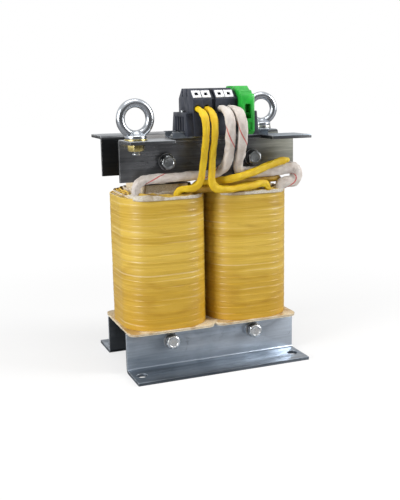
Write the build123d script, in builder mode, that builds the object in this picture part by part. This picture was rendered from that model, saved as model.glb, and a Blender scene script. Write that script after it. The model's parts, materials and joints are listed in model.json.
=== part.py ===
"""Open dry type transformer: two coils on a laminated core, clamped between bent steel angles.

Millimetres, +Z up.  The origin is the centre of the four foot holes, on the plane the feet stand on.
X runs along the angles, -Y is the terminal side.
"""
from build123d import *
import math
import os

os.makedirs("parts", exist_ok=True)

# ---------------------------------------------------------------- driving sizes
ANGLE_LENGTH = 225.0        # foot angles and front top angle
REAR_TOP_EXTRA = 20.0       # how much further the rear top angle runs on the right
SHEET = 4.0                 # thickness of the bent angles
BEND_INNER = 2.0            # inner bend radius
WEB_HEIGHT = 50.0
FLANGE_WIDTH = 50.0         # from the core face to the flange edge
OVERALL_HEIGHT = 283.0      # foot plane to the top flanges

STACK = 76.0                # core stack, front to back
LIMB_WIDTH = 50.0
YOKE_HEIGHT = 49.0
LIMB_SPACING = 111.0        # centre to centre
CORE_GAP = 1.0              # core to foot plane and to the level of the top flanges
YOKE_JOINT = 0.1            # butt joint between the U and the I stack

COIL_WIDTH = 108.0          # along X
COIL_DEPTH = 112.0          # along Y
COIL_CORNER = 40.0
COIL_HEIGHT = 161.0
WRAP = 1.8                  # outer tape, over the winding
WRAP_BANDS = 12
BAND_STEP = 0.5             # how far each overlapping turn stands proud
END_RING = 2.0
END_SETBACK = 1.0           # end rings below the rim of the tape

FORMER_WALL = 2.0
FORMER_CLEAR = 0.5          # former to limb, all round
FORMER_CORNER = 3.0
FORMER_RISE = 14.0          # former above the coil
BOARD = 3.0                 # board under each coil
BOARD_RIM = 2.0             # board beyond the coil
BOARD_GAP = 1.0             # between the two boards
BOARD_CORNER = 9.0

BOLT_D = 10.0
BOLT_CLEAR = 1.0
BOLT_AF = 16.0
BOLT_HEAD = 6.4
FOOT_BOLT_Z = 35.0
TOP_BOLT_DROP = 28.0        # top bolts below the top flange
WASHER_D = 20.0
WASHER_T = 2.0
LOCK_D = 16.4
LOCK_T = 2.4
NUT_AF = 17.0
NUT_T = 8.0
THREAD_PROUD = 4.0

FOOT_HOLE_D = 13.0
FOOT_HOLE_X = 202.0         # spacing
FOOT_HOLE_Y = 130.0

EYE_D = 45.0                # ring outside
EYE_ROD = 10.0
EYE_COLLAR_D = 25.0
EYE_COLLAR_T = 4.0
EYE_CONE_T = 6.0
EYE_CENTRE = 22.5           # ring centre above the collar seat
EYE_SHANK = 18.0
EYE_INSET = 13.5            # front eye from the left end of its angle
EYE_REAR_INSET = 12.5       # rear eye from the right end of its angle
EYE_LINE = 65.0             # both eyes from the middle plane
EYE_WASHER_T = 1.5
EYE_TURN_FRONT = 3.0       # degrees the rings are turned when tight
EYE_TURN_REAR = -7.0
EYE_PACKING = 3              # washers under the rear eye, which take up its turn

NOTCH_X0 = -60.0
NOTCH_X1 = 61.0
NOTCH_DEPTH = 34.0
NOTCH_CORNER = 3.0

RAIL_WIDTH = 35.0
RAIL_CHANNEL = 27.0
RAIL_HEIGHT = 7.5
RAIL_SHEET = 1.0
RAIL_LENGTH = 122.0
RAIL_X = 7.0                # rail and blocks sit a little to the right of the middle
RAIL_SLOT = (15.0, 6.2)
RAIL_PITCH = 27.0
RAIL_SLOTS = 5
RAIL_SCREW_D = 5.0

BLOCK_PITCH = 11.5
BLOCK_GAP = 0.1
BLOCK_HEIGHT = 56.0         # above the rail seat
BLOCK_BASE = 26.0           # half depth at the foot
BLOCK_FACE = 23.8           # half depth at the wire entries
BLOCK_TOP = 14.5            # half depth at the top
SHOULDER_LOW = 44.0
SHOULDER_HIGH = 54.5
ENTRY_Z = 33.0
ENTRY_D = 8.6
ENTRY_DEPTH = 9.0
SPACER = 5.5                # dead plate between the two pairs
EARTH_SPACER = 5.6
EARTH_WIDTH = 16.0
EARTH_FACE = 32.0
EARTH_HEIGHT = 58.0
BRACKET_WIDTH = 8.0
BRACKET_HEIGHT = 29.0
BRACKET_RIDGES = (23.0, 25.4, 27.8)     # heights of the grip ridges
BRIDGE_SHAFTS = (-4.0, 11.0)            # jumper shafts, from the middle of the rail
BRIDGE_SHAFT = (3.2, 9.5)               # width and depth
SPACER_RECESS = 4.0
MARKER = (10.4, 10.4, 1.0)
MARKER_HOLE = 4.2

YELLOW_D = 8.4
WHITE_D = 11.0
LEAD_CLEAR = 0.1            # lead ends above what they rest on

# ---------------------------------------------------------------- derived places
HALF_STACK = STACK / 2
WEB_FACE = HALF_STACK + SHEET
TOP = OVERALL_HEIGHT
CORE_BOTTOM = CORE_GAP
WINDOW_BOTTOM = CORE_BOTTOM + YOKE_HEIGHT
CORE_TOP = TOP - CORE_GAP
WINDOW_TOP = CORE_TOP - YOKE_HEIGHT
LIMB_X = LIMB_SPACING / 2
COIL_BOTTOM = max(WEB_HEIGHT, WINDOW_BOTTOM) + BOARD
COIL_TOP = COIL_BOTTOM + COIL_HEIGHT
TOP_BOLT_Z = TOP - TOP_BOLT_DROP
FLANGE_EDGE = HALF_STACK + FLANGE_WIDTH
STRIP_EDGE = FLANGE_EDGE - NOTCH_DEPTH
RAIL_Y = -(WEB_FACE + STRIP_EDGE) / 2
BLOCK_X0 = RAIL_X - 38.9    # left face of the first terminal
REAR_END = ANGLE_LENGTH / 2 + REAR_TOP_EXTRA
EYE_FRONT_X = -ANGLE_LENGTH / 2 + EYE_INSET
EYE_REAR_X = REAR_END - EYE_REAR_INSET

NODES = []


def save(part, name):
    """Label a finished piece and write it to its own STEP file."""
    part.label = name
    export_step(part, f"parts/{name}.step")
    NODES.append(name)


# ---------------------------------------------------------------- bent angles
def angle_profile(web_z0, web_z1, flange_on_top, side=-1):
    """Closed L profile in the YZ plane, web against the core face; side is -1 at the front."""
    outer_z = web_z1 if flange_on_top else web_z0
    inner_z = outer_z - SHEET if flange_on_top else outer_z + SHEET
    free_z = web_z0 if flange_on_top else web_z1
    with BuildSketch(Plane.YZ) as profile:
        with BuildLine():
            Polyline(
                (side * HALF_STACK, free_z),
                (side * HALF_STACK, outer_z),
                (side * FLANGE_EDGE, outer_z),
                (side * FLANGE_EDGE, inner_z),
                (side * WEB_FACE, inner_z),
                (side * WEB_FACE, free_z),
                close=True,
            )
        make_face()
        outer = profile.vertices().sort_by_distance((side * HALF_STACK, outer_z, 0))[0]
        fillet(outer, BEND_INNER + SHEET)
        inner = profile.vertices().sort_by_distance((side * WEB_FACE, inner_z, 0))[0]
        fillet(inner, BEND_INNER)
        free = profile.vertices().filter_by(lambda v: abs(abs(v.X) - FLANGE_EDGE) < 0.01)
        fillet(free, SHEET * 0.12)
    return profile.sketch_local


def bolt_holes(x_list, z, y, diameter):
    """Round holes through a web, bored along Y."""
    for x in x_list:
        with Locations(Location((x, y, z), (90, 0, 0))):
            Hole(diameter / 2, 4 * SHEET)


LIMBS = (-LIMB_X, LIMB_X)

def foot_angle(side):
    """Foot angle with its clamp bolt holes and its two floor holes."""
    with BuildPart() as foot:
        with BuildSketch(Plane.YZ):
            add(angle_profile(0, WEB_HEIGHT, False, side))
        extrude(amount=ANGLE_LENGTH / 2, both=True)
        bolt_holes(LIMBS, FOOT_BOLT_Z, side * HALF_STACK, BOLT_D + BOLT_CLEAR)
        with Locations((0, side * FOOT_HOLE_Y / 2, SHEET)):
            with GridLocations(FOOT_HOLE_X, 1, 2, 1):
                Hole(FOOT_HOLE_D / 2, 2 * SHEET)
    return foot.part


save(foot_angle(-1), "foot_angle_front")
save(foot_angle(1), "foot_angle_rear")

with BuildPart() as top_angle_front:
    with BuildSketch(Plane.YZ):
        add(angle_profile(TOP - WEB_HEIGHT, TOP, True))
    extrude(amount=ANGLE_LENGTH / 2, both=True)
    bolt_holes(LIMBS, TOP_BOLT_Z, -HALF_STACK, BOLT_D + BOLT_CLEAR)
    with BuildSketch(Plane.XY.offset(TOP)):
        with Locations(((NOTCH_X0 + NOTCH_X1) / 2, -(FLANGE_EDGE + STRIP_EDGE) / 2)):
            RectangleRounded(NOTCH_X1 - NOTCH_X0, NOTCH_DEPTH, NOTCH_CORNER)
        with Locations(((NOTCH_X0 + NOTCH_X1) / 2, -FLANGE_EDGE)):
            Rectangle(NOTCH_X1 - NOTCH_X0, NOTCH_DEPTH)
    extrude(amount=-2 * SHEET, mode=Mode.SUBTRACT)
    with Locations((EYE_FRONT_X, -EYE_LINE, TOP)):
        Hole((EYE_ROD + BOLT_CLEAR) / 2, 2 * SHEET)
    with Locations((RAIL_X, RAIL_Y, TOP)):
        with GridLocations(RAIL_PITCH * (RAIL_SLOTS - 1), 1, 2, 1):
            Hole(RAIL_SCREW_D / 2, 2 * SHEET)
save(top_angle_front.part, "top_angle_front")

with BuildPart() as top_angle_rear:
    with BuildSketch(Plane.YZ.offset(REAR_TOP_EXTRA / 2)):
        add(angle_profile(TOP - WEB_HEIGHT, TOP, True, 1))
    extrude(amount=(ANGLE_LENGTH + REAR_TOP_EXTRA) / 2, both=True)
    bolt_holes(LIMBS, TOP_BOLT_Z, WEB_FACE, BOLT_D + BOLT_CLEAR)
    with Locations((EYE_REAR_X, EYE_LINE, TOP)):
        Hole((EYE_ROD + BOLT_CLEAR) / 2, 2 * SHEET)
save(top_angle_rear.part, "top_angle_rear")

# ---------------------------------------------------------------- laminated core
CORE_WIDTH = LIMB_SPACING + LIMB_WIDTH
WINDOW_WIDTH = LIMB_SPACING - LIMB_WIDTH

with BuildPart() as core_u_stack:
    with BuildSketch(Plane.XZ):
        with BuildLine():
            Polyline(
                (-CORE_WIDTH / 2, CORE_BOTTOM),
                (CORE_WIDTH / 2, CORE_BOTTOM),
                (CORE_WIDTH / 2, WINDOW_TOP),
                (WINDOW_WIDTH / 2, WINDOW_TOP),
                (WINDOW_WIDTH / 2, WINDOW_BOTTOM),
                (-WINDOW_WIDTH / 2, WINDOW_BOTTOM),
                (-WINDOW_WIDTH / 2, WINDOW_TOP),
                (-CORE_WIDTH / 2, WINDOW_TOP),
                close=True,
            )
        make_face()
        with Locations(*[(x, FOOT_BOLT_Z) for x in LIMBS]):
            Circle((BOLT_D + BOLT_CLEAR) / 2, mode=Mode.SUBTRACT)
    extrude(amount=HALF_STACK, both=True)
save(core_u_stack.part, "core_u_stack")

with BuildPart() as core_i_stack:
    with BuildSketch(Plane.XZ):
        with Locations((0, (WINDOW_TOP + YOKE_JOINT + CORE_TOP) / 2)):
            Rectangle(CORE_WIDTH, CORE_TOP - WINDOW_TOP - YOKE_JOINT)
        with Locations(*[(x, TOP_BOLT_Z) for x in LIMBS]):
            Circle((BOLT_D + BOLT_CLEAR) / 2, mode=Mode.SUBTRACT)
    extrude(amount=HALF_STACK, both=True)
save(core_i_stack.part, "core_i_stack")

# ---------------------------------------------------------------- coils
FORMER_IN = (LIMB_WIDTH + 2 * FORMER_CLEAR, STACK + 2 * FORMER_CLEAR)
FORMER_OUT = (FORMER_IN[0] + 2 * FORMER_WALL, FORMER_IN[1] + 2 * FORMER_WALL)
WOUND = (COIL_WIDTH - 2 * WRAP, COIL_DEPTH - 2 * WRAP)
WOUND_CORNER = COIL_CORNER - WRAP


def make_former(x):
    """Rectangular tube that slides over one limb and stands on its board."""
    with BuildPart() as former:
        with BuildSketch(Plane.XY.offset(COIL_BOTTOM)):
            with Locations((x, 0)):
                RectangleRounded(*FORMER_OUT, FORMER_CORNER)
                Rectangle(*FORMER_IN, mode=Mode.SUBTRACT)
        extrude(amount=COIL_HEIGHT + FORMER_RISE)
    return former.part


def make_winding(x):
    """Wound copper between the end rings, bulged to rounded corners."""
    low = COIL_BOTTOM + END_SETBACK + END_RING
    high = COIL_TOP - END_SETBACK - END_RING
    with BuildPart() as winding:
        with BuildSketch(Plane.XY.offset(low)):
            with Locations((x, 0)):
                RectangleRounded(*WOUND, WOUND_CORNER)
                RectangleRounded(*FORMER_OUT, FORMER_CORNER, mode=Mode.SUBTRACT)
        extrude(amount=high - low)
    return winding.part


def make_wrap(x):
    """Overlapping turns of varnished tape: each band widens upwards and laps over the next."""
    band = COIL_HEIGHT / WRAP_BANDS
    lean = math.degrees(math.atan(BAND_STEP / band))
    with BuildPart() as wrap:
        for k in range(WRAP_BANDS):
            with BuildSketch(Plane.XY.offset(COIL_BOTTOM + k * band)):
                with Locations((x, 0)):
                    RectangleRounded(
                        COIL_WIDTH - 2 * BAND_STEP, COIL_DEPTH - 2 * BAND_STEP, COIL_CORNER - BAND_STEP
                    )
            extrude(amount=band, taper=-lean)
        with BuildSketch(Plane.XY.offset(COIL_BOTTOM)):
            with Locations((x, 0)):
                RectangleRounded(*WOUND, WOUND_CORNER)
        extrude(amount=COIL_HEIGHT, mode=Mode.SUBTRACT)
    return wrap.part


def make_board(x):
    """Board under one coil: it lies on both webs and on the yoke, round the limb."""
    outer = LIMB_SPACING / 2 + COIL_WIDTH / 2 + BOARD_RIM
    width = outer - BOARD_GAP / 2
    centre = math.copysign(BOARD_GAP / 2 + width / 2, x)
    with BuildPart() as board:
        with BuildSketch(Plane.XY.offset(COIL_BOTTOM - BOARD)):
            with Locations((centre, 0)):
                RectangleRounded(width, COIL_DEPTH + 2 * BOARD_RIM, BOARD_CORNER)
            with Locations((x, 0)):
                Rectangle(*FORMER_IN, mode=Mode.SUBTRACT)
        extrude(amount=BOARD)
    return board.part


for side, limb in (("left", -LIMB_X), ("right", LIMB_X)):
    save(make_board(limb), f"coil_board_{side}")
    save(make_former(limb), f"coil_former_{side}")
    save(make_winding(limb), f"winding_{side}")
    save(make_wrap(limb), f"coil_wrap_{side}")

with BuildPart() as coil_end_rings:
    for z in (COIL_BOTTOM + END_SETBACK, COIL_TOP - END_SETBACK - END_RING):
        with BuildSketch(Plane.XY.offset(z)):
            with Locations(*[(x, 0) for x in LIMBS]):
                RectangleRounded(*WOUND, WOUND_CORNER)
                RectangleRounded(*FORMER_OUT, FORMER_CORNER, mode=Mode.SUBTRACT)
        extrude(amount=END_RING)
save(coil_end_rings.part, "coil_end_rings")


# ---------------------------------------------------------------- fasteners
def hex_body(across_flats, height, bore=0.0, both_ends=False):
    """Hexagon with its corners turned down, standing on Z = 0."""
    corner = across_flats / math.sqrt(3)
    fall = (corner - across_flats / 2) * math.tan(math.radians(30))
    with BuildPart() as body:
        with BuildSketch():
            RegularPolygon(across_flats / 2, 6, major_radius=False)
        extrude(amount=height)
        with BuildSketch(Plane.XZ):
            low = fall if both_ends else 0.0
            foot = across_flats / 2 * 0.98 if both_ends else corner
            with BuildLine():
                Polyline(
                    (0, 0), (foot, 0), (corner, low), (corner, height - fall),
                    (across_flats / 2 * 0.98, height), (0, height), close=True,
                ) if both_ends else Polyline(
                    (0, 0), (corner, 0), (corner, height - fall),
                    (across_flats / 2 * 0.98, height), (0, height), close=True,
                )
            make_face()
        revolve(axis=Axis.Z, mode=Mode.INTERSECT)
        if bore:
            Hole(bore / 2, 2 * height)
    return body.part


def ring_body(outer, inner, height):
    """Flat washer standing on Z = 0."""
    with BuildPart() as body:
        with BuildSketch():
            Circle(outer / 2)
            Circle(inner / 2, mode=Mode.SUBTRACT)
        extrude(amount=height)
    return body.part


def clamp_bolt_body():
    """Hexagon bolt with its head's seat at Z = 0 and its shank along -Z."""
    grip = LOCK_T + WASHER_T + 2 * WEB_FACE + WASHER_T + NUT_T + THREAD_PROUD
    head = hex_body(BOLT_AF, BOLT_HEAD)
    with BuildPart() as body:
        add(head)
        with BuildSketch():
            Circle(BOLT_D / 2)
        extrude(amount=-grip)
        tip = body.faces().sort_by(Axis.Z)[0].edges()
        chamfer(tip, 1.0)
    return body.part


def front_places(y):
    """Locations of the four clamp bolts, facing -Y."""
    return [
        Location((x, y, z), (90, 0, 0))
        for z in (FOOT_BOLT_Z, TOP_BOLT_Z)
        for x in LIMBS
    ]


def rear_places(y):
    """Locations of the four clamp bolts, facing +Y."""
    return [
        Location((x, y, z), (-90, 0, 0))
        for z in (FOOT_BOLT_Z, TOP_BOLT_Z)
        for x in LIMBS
    ]


bolt_solid = clamp_bolt_body()
washer_solid = ring_body(WASHER_D, BOLT_D, WASHER_T)
lock_solid = ring_body(LOCK_D, BOLT_D, LOCK_T)
nut_solid = hex_body(NUT_AF, NUT_T, BOLT_D, True)

with BuildPart() as clamp_bolts:
    with Locations(*front_places(-(WEB_FACE + WASHER_T + LOCK_T))):
        add(bolt_solid)
save(clamp_bolts.part, "clamp_bolts")

with BuildPart() as clamp_washers:
    with Locations(*front_places(-WEB_FACE)):
        add(washer_solid)
    with Locations(*rear_places(WEB_FACE)):
        add(washer_solid)
save(clamp_washers.part, "clamp_washers")

with BuildPart() as clamp_lock_washers:
    with Locations(*front_places(-(WEB_FACE + WASHER_T))):
        add(lock_solid)
save(clamp_lock_washers.part, "clamp_lock_washers")

with BuildPart() as clamp_nuts:
    with Locations(*rear_places(WEB_FACE + WASHER_T)):
        add(nut_solid)
save(clamp_nuts.part, "clamp_nuts")

# ---------------------------------------------------------------- lifting eyes
RING_R = (EYE_D - EYE_ROD) / 2


def eye_bolt_body(turn):
    """Lifting eye: forged ring on a coned collar, with its threaded shank along -Z."""
    with BuildPart() as eye:
        with BuildSketch(Plane.XZ):
            with BuildLine():
                Polyline(
                    (0, 0),
                    (EYE_COLLAR_D / 2 - 0.6, 0),
                    (EYE_COLLAR_D / 2, 0.6),
                    (EYE_COLLAR_D / 2, EYE_COLLAR_T),
                    (EYE_ROD * 0.72, EYE_COLLAR_T + EYE_CONE_T),
                    (0, EYE_COLLAR_T + EYE_CONE_T),
                    close=True,
                )
            make_face()
        revolve(axis=Axis.Z)
        with BuildSketch():
            Circle(EYE_ROD / 2)
        extrude(amount=-EYE_SHANK)
        chamfer(eye.faces().sort_by(Axis.Z)[0].edges(), 1.0)
        with BuildSketch(Plane.XZ):
            with Locations((0, EYE_CENTRE)):
                Circle(RING_R)
        extrude(amount=EYE_COLLAR_D, both=True, mode=Mode.SUBTRACT)
        with Locations(Location((0, 0, EYE_CENTRE), (90, 0, 0))):
            Torus(RING_R, EYE_ROD / 2)
    return Rotation(0, 0, turn) * eye.part


EYE_SEAT = TOP + EYE_WASHER_T
EYE_REAR_SEAT = TOP + EYE_PACKING * EYE_WASHER_T
EYE_PLACES = ((EYE_FRONT_X, -EYE_LINE), (EYE_REAR_X, EYE_LINE))

with BuildPart() as eye_bolt_front:
    with Locations((EYE_FRONT_X, -EYE_LINE, EYE_SEAT)):
        add(eye_bolt_body(EYE_TURN_FRONT))
save(eye_bolt_front.part, "eye_bolt_front")

with BuildPart() as eye_bolt_rear:
    with Locations((EYE_REAR_X, EYE_LINE, EYE_REAR_SEAT)):
        add(eye_bolt_body(EYE_TURN_REAR))
save(eye_bolt_rear.part, "eye_bolt_rear")

with BuildPart() as eye_washers:
    with Locations((EYE_FRONT_X, -EYE_LINE, TOP)):
        add(ring_body(EYE_COLLAR_D + 1.0, EYE_ROD + BOLT_CLEAR / 2, EYE_WASHER_T))
    with Locations(*[(EYE_REAR_X, EYE_LINE, TOP + k * EYE_WASHER_T) for k in range(EYE_PACKING)]):
        add(ring_body(EYE_COLLAR_D + 1.0, EYE_ROD + BOLT_CLEAR / 2, EYE_WASHER_T))
save(eye_washers.part, "eye_washers")

with BuildPart() as eye_nuts:
    with Locations(*[(x, y, TOP - SHEET - NUT_T) for x, y in EYE_PLACES]):
        add(hex_body(NUT_AF, NUT_T, EYE_ROD, True))
save(eye_nuts.part, "eye_nuts")

# ---------------------------------------------------------------- terminal rail
RAIL_ENDS = [(RAIL_X - RAIL_PITCH * (RAIL_SLOTS - 1) / 2, RAIL_Y), (RAIL_X + RAIL_PITCH * (RAIL_SLOTS - 1) / 2, RAIL_Y)]

with BuildPart() as din_rail:
    with BuildSketch(Plane.YZ.offset(RAIL_X)) as hat:
        with Locations((RAIL_Y, TOP + RAIL_SHEET / 2)):
            Rectangle(RAIL_CHANNEL, RAIL_SHEET)
        for s in (-1, 1):
            with Locations((RAIL_Y + s * (RAIL_CHANNEL - RAIL_SHEET) / 2, TOP + RAIL_HEIGHT / 2)):
                Rectangle(RAIL_SHEET, RAIL_HEIGHT)
            lip = (RAIL_WIDTH - RAIL_CHANNEL) / 2 + RAIL_SHEET
            with Locations((RAIL_Y + s * (RAIL_WIDTH - lip) / 2, TOP + RAIL_HEIGHT - RAIL_SHEET / 2)):
                Rectangle(lip, RAIL_SHEET)
    extrude(amount=RAIL_LENGTH / 2, both=True)
    with BuildSketch(Plane.XY.offset(TOP + RAIL_SHEET)):
        with Locations((RAIL_X, RAIL_Y)):
            with GridLocations(RAIL_PITCH, 1, RAIL_SLOTS, 1):
                SlotOverall(*RAIL_SLOT)
    extrude(amount=-2 * RAIL_SHEET, mode=Mode.SUBTRACT)
save(din_rail.part, "din_rail")

PAN_D = 9.5
PAN_H = 3.4
with BuildPart() as rail_screws:
    with Locations(*[(x, y, TOP + RAIL_SHEET) for x, y in RAIL_ENDS]):
        Cylinder(PAN_D / 2, PAN_H, align=(Align.CENTER, Align.CENTER, Align.MIN))
        Cylinder(
            RAIL_SCREW_D / 2, RAIL_SHEET + SHEET, align=(Align.CENTER, Align.CENTER, Align.MAX)
        )
    crown = rail_screws.edges().filter_by(GeomType.CIRCLE).filter_by(
        lambda e: abs(e.center().Z - TOP - RAIL_SHEET - PAN_H) < 0.01
    )
    fillet(crown, 1.4)
    with Locations(*[(x, y, TOP + RAIL_SHEET + PAN_H) for x, y in RAIL_ENDS]):
        Box(PAN_D, 1.2, 3.0, mode=Mode.SUBTRACT)
save(rail_screws.part, "rail_screws")



# ---------------------------------------------------------------- terminal blocks
RAIL_HALF = RAIL_WIDTH / 2
FOOT_CLEAR = 0.3
HOOK_IN = RAIL_HALF - 2.5


def block_outline(base, face, top, height, low, high):
    """Half outline of a rail mounted housing, from its middle outwards and back over the top."""
    seat = RAIL_HEIGHT + FOOT_CLEAR
    under = RAIL_HEIGHT - RAIL_SHEET - FOOT_CLEAR
    return [
        (0, seat),
        (RAIL_HALF + FOOT_CLEAR, seat),
        (RAIL_HALF + FOOT_CLEAR, under),
        (HOOK_IN, under),
        (HOOK_IN, under - 2.2),
        (RAIL_HALF + FOOT_CLEAR, 2.2),
        (base, 2.2),
        (base, 8.0),
        (face, 22.0),
        (face, low),
        (top, high),
        (top - 1.6, height),
        (0, height),
    ]


def block_body(half, x0, width):
    """Extrude a mirrored outline across the rail, from x0 over its width."""
    points = [(RAIL_Y + y, TOP + z) for y, z in half]
    points += [(RAIL_Y - y, TOP + z) for y, z in reversed(half[1:-1])]
    with BuildPart() as body:
        with BuildSketch(Plane.YZ.offset(x0)):
            with BuildLine():
                Polyline(*points, close=True)
            make_face()
        extrude(amount=width)
    return body.part


def shoulder_plane(x, side):
    """Plane on the sloping shoulder, its normal pointing out; side is -1 at the front."""
    mid_y = (BLOCK_FACE + BLOCK_TOP) / 2
    mid_z = (SHOULDER_LOW + SHOULDER_HIGH) / 2
    run = BLOCK_FACE - BLOCK_TOP
    rise = SHOULDER_HIGH - SHOULDER_LOW
    return Plane(
        origin=(x, RAIL_Y + side * mid_y, TOP + mid_z),
        x_dir=(1, 0, 0),
        z_dir=(0, side * rise, run),
    )


BLOCK_HALF = block_outline(
    BLOCK_BASE, BLOCK_FACE, BLOCK_TOP, BLOCK_HEIGHT, SHOULDER_LOW, SHOULDER_HIGH
)
PAIR = 2 * BLOCK_PITCH
BLOCK_STARTS = [
    BLOCK_X0,
    BLOCK_X0 + BLOCK_PITCH,
    BLOCK_X0 + PAIR + SPACER,
    BLOCK_X0 + PAIR + SPACER + BLOCK_PITCH,
]


def terminal_block(x0):
    """Grey screw terminal: wire entry and screw access on each side, two jumper shafts on top."""
    width = BLOCK_PITCH - BLOCK_GAP
    x = x0 + width / 2
    with BuildPart() as block:
        add(block_body(BLOCK_HALF, x0, width))
        with Locations(*[(x, RAIL_Y + y, TOP + BLOCK_HEIGHT) for y in BRIDGE_SHAFTS]):
            Box(width, BRIDGE_SHAFT[0], 2 * BRIDGE_SHAFT[1], mode=Mode.SUBTRACT)
        for side in (-1, 1):
            face = Plane(
                origin=(x, RAIL_Y + side * BLOCK_FACE, TOP + ENTRY_Z), x_dir=(1, 0, 0), z_dir=(0, side, 0)
            )
            with BuildSketch(face):
                Circle(ENTRY_D / 2)
            extrude(amount=-ENTRY_DEPTH, mode=Mode.SUBTRACT)
            with BuildSketch(shoulder_plane(x, side)):
                Rectangle(MARKER_HOLE, MARKER_HOLE)
            extrude(amount=-8.0, mode=Mode.SUBTRACT)
        mouths = block.edges().filter_by(GeomType.CIRCLE).filter_by(
            lambda e: abs(abs(e.center().Y - RAIL_Y) - BLOCK_FACE) < 0.01
        )
        chamfer(mouths, 0.6)
    return block.part


for number, start in enumerate(BLOCK_STARTS, 1):
    save(terminal_block(start), f"terminal_{number}")

with BuildPart() as terminal_markers:
    for start in BLOCK_STARTS:
        with BuildSketch(shoulder_plane(start + (BLOCK_PITCH - BLOCK_GAP) / 2, -1)):
            Rectangle(MARKER[0], MARKER[1])
            Rectangle(MARKER_HOLE, MARKER_HOLE, mode=Mode.SUBTRACT)
        extrude(amount=MARKER[2])
save(terminal_markers.part, "terminal_markers")


def plain_plate(x0, width, drop):
    """Dead plate inside the terminals' outline: its faces set back, its top lower by drop."""
    half = block_outline(
        BLOCK_BASE,
        BLOCK_FACE - SPACER_RECESS,
        BLOCK_TOP - SPACER_RECESS,
        BLOCK_HEIGHT - drop,
        SHOULDER_LOW,
        SHOULDER_HIGH - drop,
    )
    return block_body(half, x0, width)


SPACER_X = BLOCK_X0 + PAIR
EARTH_SPACER_X = BLOCK_STARTS[3] + BLOCK_PITCH
EARTH_X = EARTH_SPACER_X + EARTH_SPACER

with BuildPart() as terminal_spacer:
    add(plain_plate(SPACER_X, SPACER - BLOCK_GAP, 2.5))
    ledge = Plane(
        origin=(SPACER_X + (SPACER - BLOCK_GAP) / 2, RAIL_Y - BLOCK_FACE, TOP + 27.0), x_dir=(1, 0, 0), z_dir=(0, 0, 1)
    )
    with BuildSketch(ledge):
        SlotOverall(13.0, SPACER - BLOCK_GAP - 0.2, rotation=90)
    extrude(amount=3.0, both=True)
save(terminal_spacer.part, "terminal_spacer")

with BuildPart() as earth_spacer:
    add(plain_plate(EARTH_SPACER_X, EARTH_SPACER - BLOCK_GAP, 3.0))
save(earth_spacer.part, "earth_spacer")

EARTH_TOP = 13.0
EARTH_HALF = [
    (0, RAIL_HEIGHT + FOOT_CLEAR),
    (RAIL_HALF + FOOT_CLEAR, RAIL_HEIGHT + FOOT_CLEAR),
    (RAIL_HALF + FOOT_CLEAR, RAIL_HEIGHT - RAIL_SHEET - FOOT_CLEAR),
    (HOOK_IN, RAIL_HEIGHT - RAIL_SHEET - FOOT_CLEAR),
    (HOOK_IN, RAIL_HEIGHT - RAIL_SHEET - FOOT_CLEAR - 2.2),
    (RAIL_HALF + FOOT_CLEAR, 2.2),
    (EARTH_FACE - 4.0, 2.2),
    (EARTH_FACE, 6.0),
    (EARTH_FACE, EARTH_HEIGHT - 12.0),
    (EARTH_FACE - 1.5, EARTH_HEIGHT - 9.5),
    (EARTH_FACE - 7.0, EARTH_HEIGHT - 8.5),
    (EARTH_FACE - 8.5, EARTH_HEIGHT - 5.5),
    (EARTH_FACE - 14.0, EARTH_HEIGHT - 4.5),
    (EARTH_FACE - 20.0, EARTH_HEIGHT),
    (EARTH_TOP - 7.0, EARTH_HEIGHT),
    (EARTH_TOP - 7.0, EARTH_HEIGHT - 4.0),
    (0, EARTH_HEIGHT - 4.0),
]
EARTH_SLOT = (7.6, 17.0)
EARTH_SLOT_Z = 29.0
EARTH_POCKET = 1.2

with BuildPart() as earth_terminal:
    add(block_body(EARTH_HALF, EARTH_X, EARTH_WIDTH))
    for side in (-1, 1):
        front = Plane(
            origin=(EARTH_X + EARTH_WIDTH / 2, RAIL_Y + side * EARTH_FACE, TOP),
            x_dir=(-side, 0, 0),
            z_dir=(0, side, 0),
        )
        with BuildSketch(front):
            with Locations((0, EARTH_SLOT_Z)):
                Rectangle(*EARTH_SLOT)
        extrude(amount=-12.0, mode=Mode.SUBTRACT)
        with BuildSketch(front):
            with BuildLine():
                Polyline((-5.2, 5.0), (5.2, 5.0), (5.2, 16.5), (-5.2, 16.5), close=True)
            make_face()
            with BuildLine():
                Polyline((-5.2, 15.5), (4.4, 5.0), (5.2, 5.0), (5.2, 6.4), (-4.0, 16.5), (-5.2, 16.5), close=True)
            make_face(mode=Mode.SUBTRACT)
        extrude(amount=-EARTH_POCKET, mode=Mode.SUBTRACT)
        ledge_in = Plane(
            origin=(EARTH_X + EARTH_WIDTH / 2, RAIL_Y + side * (EARTH_FACE - 8.0), TOP + EARTH_SLOT_Z - 1.5),
            x_dir=(1, 0, 0),
            z_dir=(0, 0, 1),
        )
        with BuildSketch(ledge_in):
            Rectangle(EARTH_SLOT[0], 9.0)
        extrude(amount=-2.0)
save(earth_terminal.part, "earth_terminal")

# ---------------------------------------------------------------- end brackets
BRACKET_HALF = [
    (0, RAIL_HEIGHT + FOOT_CLEAR),
    (RAIL_HALF + FOOT_CLEAR, RAIL_HEIGHT + FOOT_CLEAR),
    (RAIL_HALF + FOOT_CLEAR, RAIL_HEIGHT - RAIL_SHEET - FOOT_CLEAR),
    (HOOK_IN, RAIL_HEIGHT - RAIL_SHEET - FOOT_CLEAR),
    (HOOK_IN, RAIL_HEIGHT - RAIL_SHEET - FOOT_CLEAR - 2.2),
    (RAIL_HALF + FOOT_CLEAR, 2.2),
    (BLOCK_BASE, 2.2),
    (BLOCK_BASE - 0.6, 9.0),
    (BLOCK_BASE - 5.0, BRACKET_HEIGHT),
    (0, BRACKET_HEIGHT),
]
RIB_DEPTH = 1.2


def bracket_half(z):
    """Half depth of a bracket at a height above the rail seat."""
    (low_y, low_z), (high_y, high_z) = BRACKET_HALF[-3:-1]
    return low_y + (high_y - low_y) * (z - low_z) / (high_z - low_z)


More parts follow.
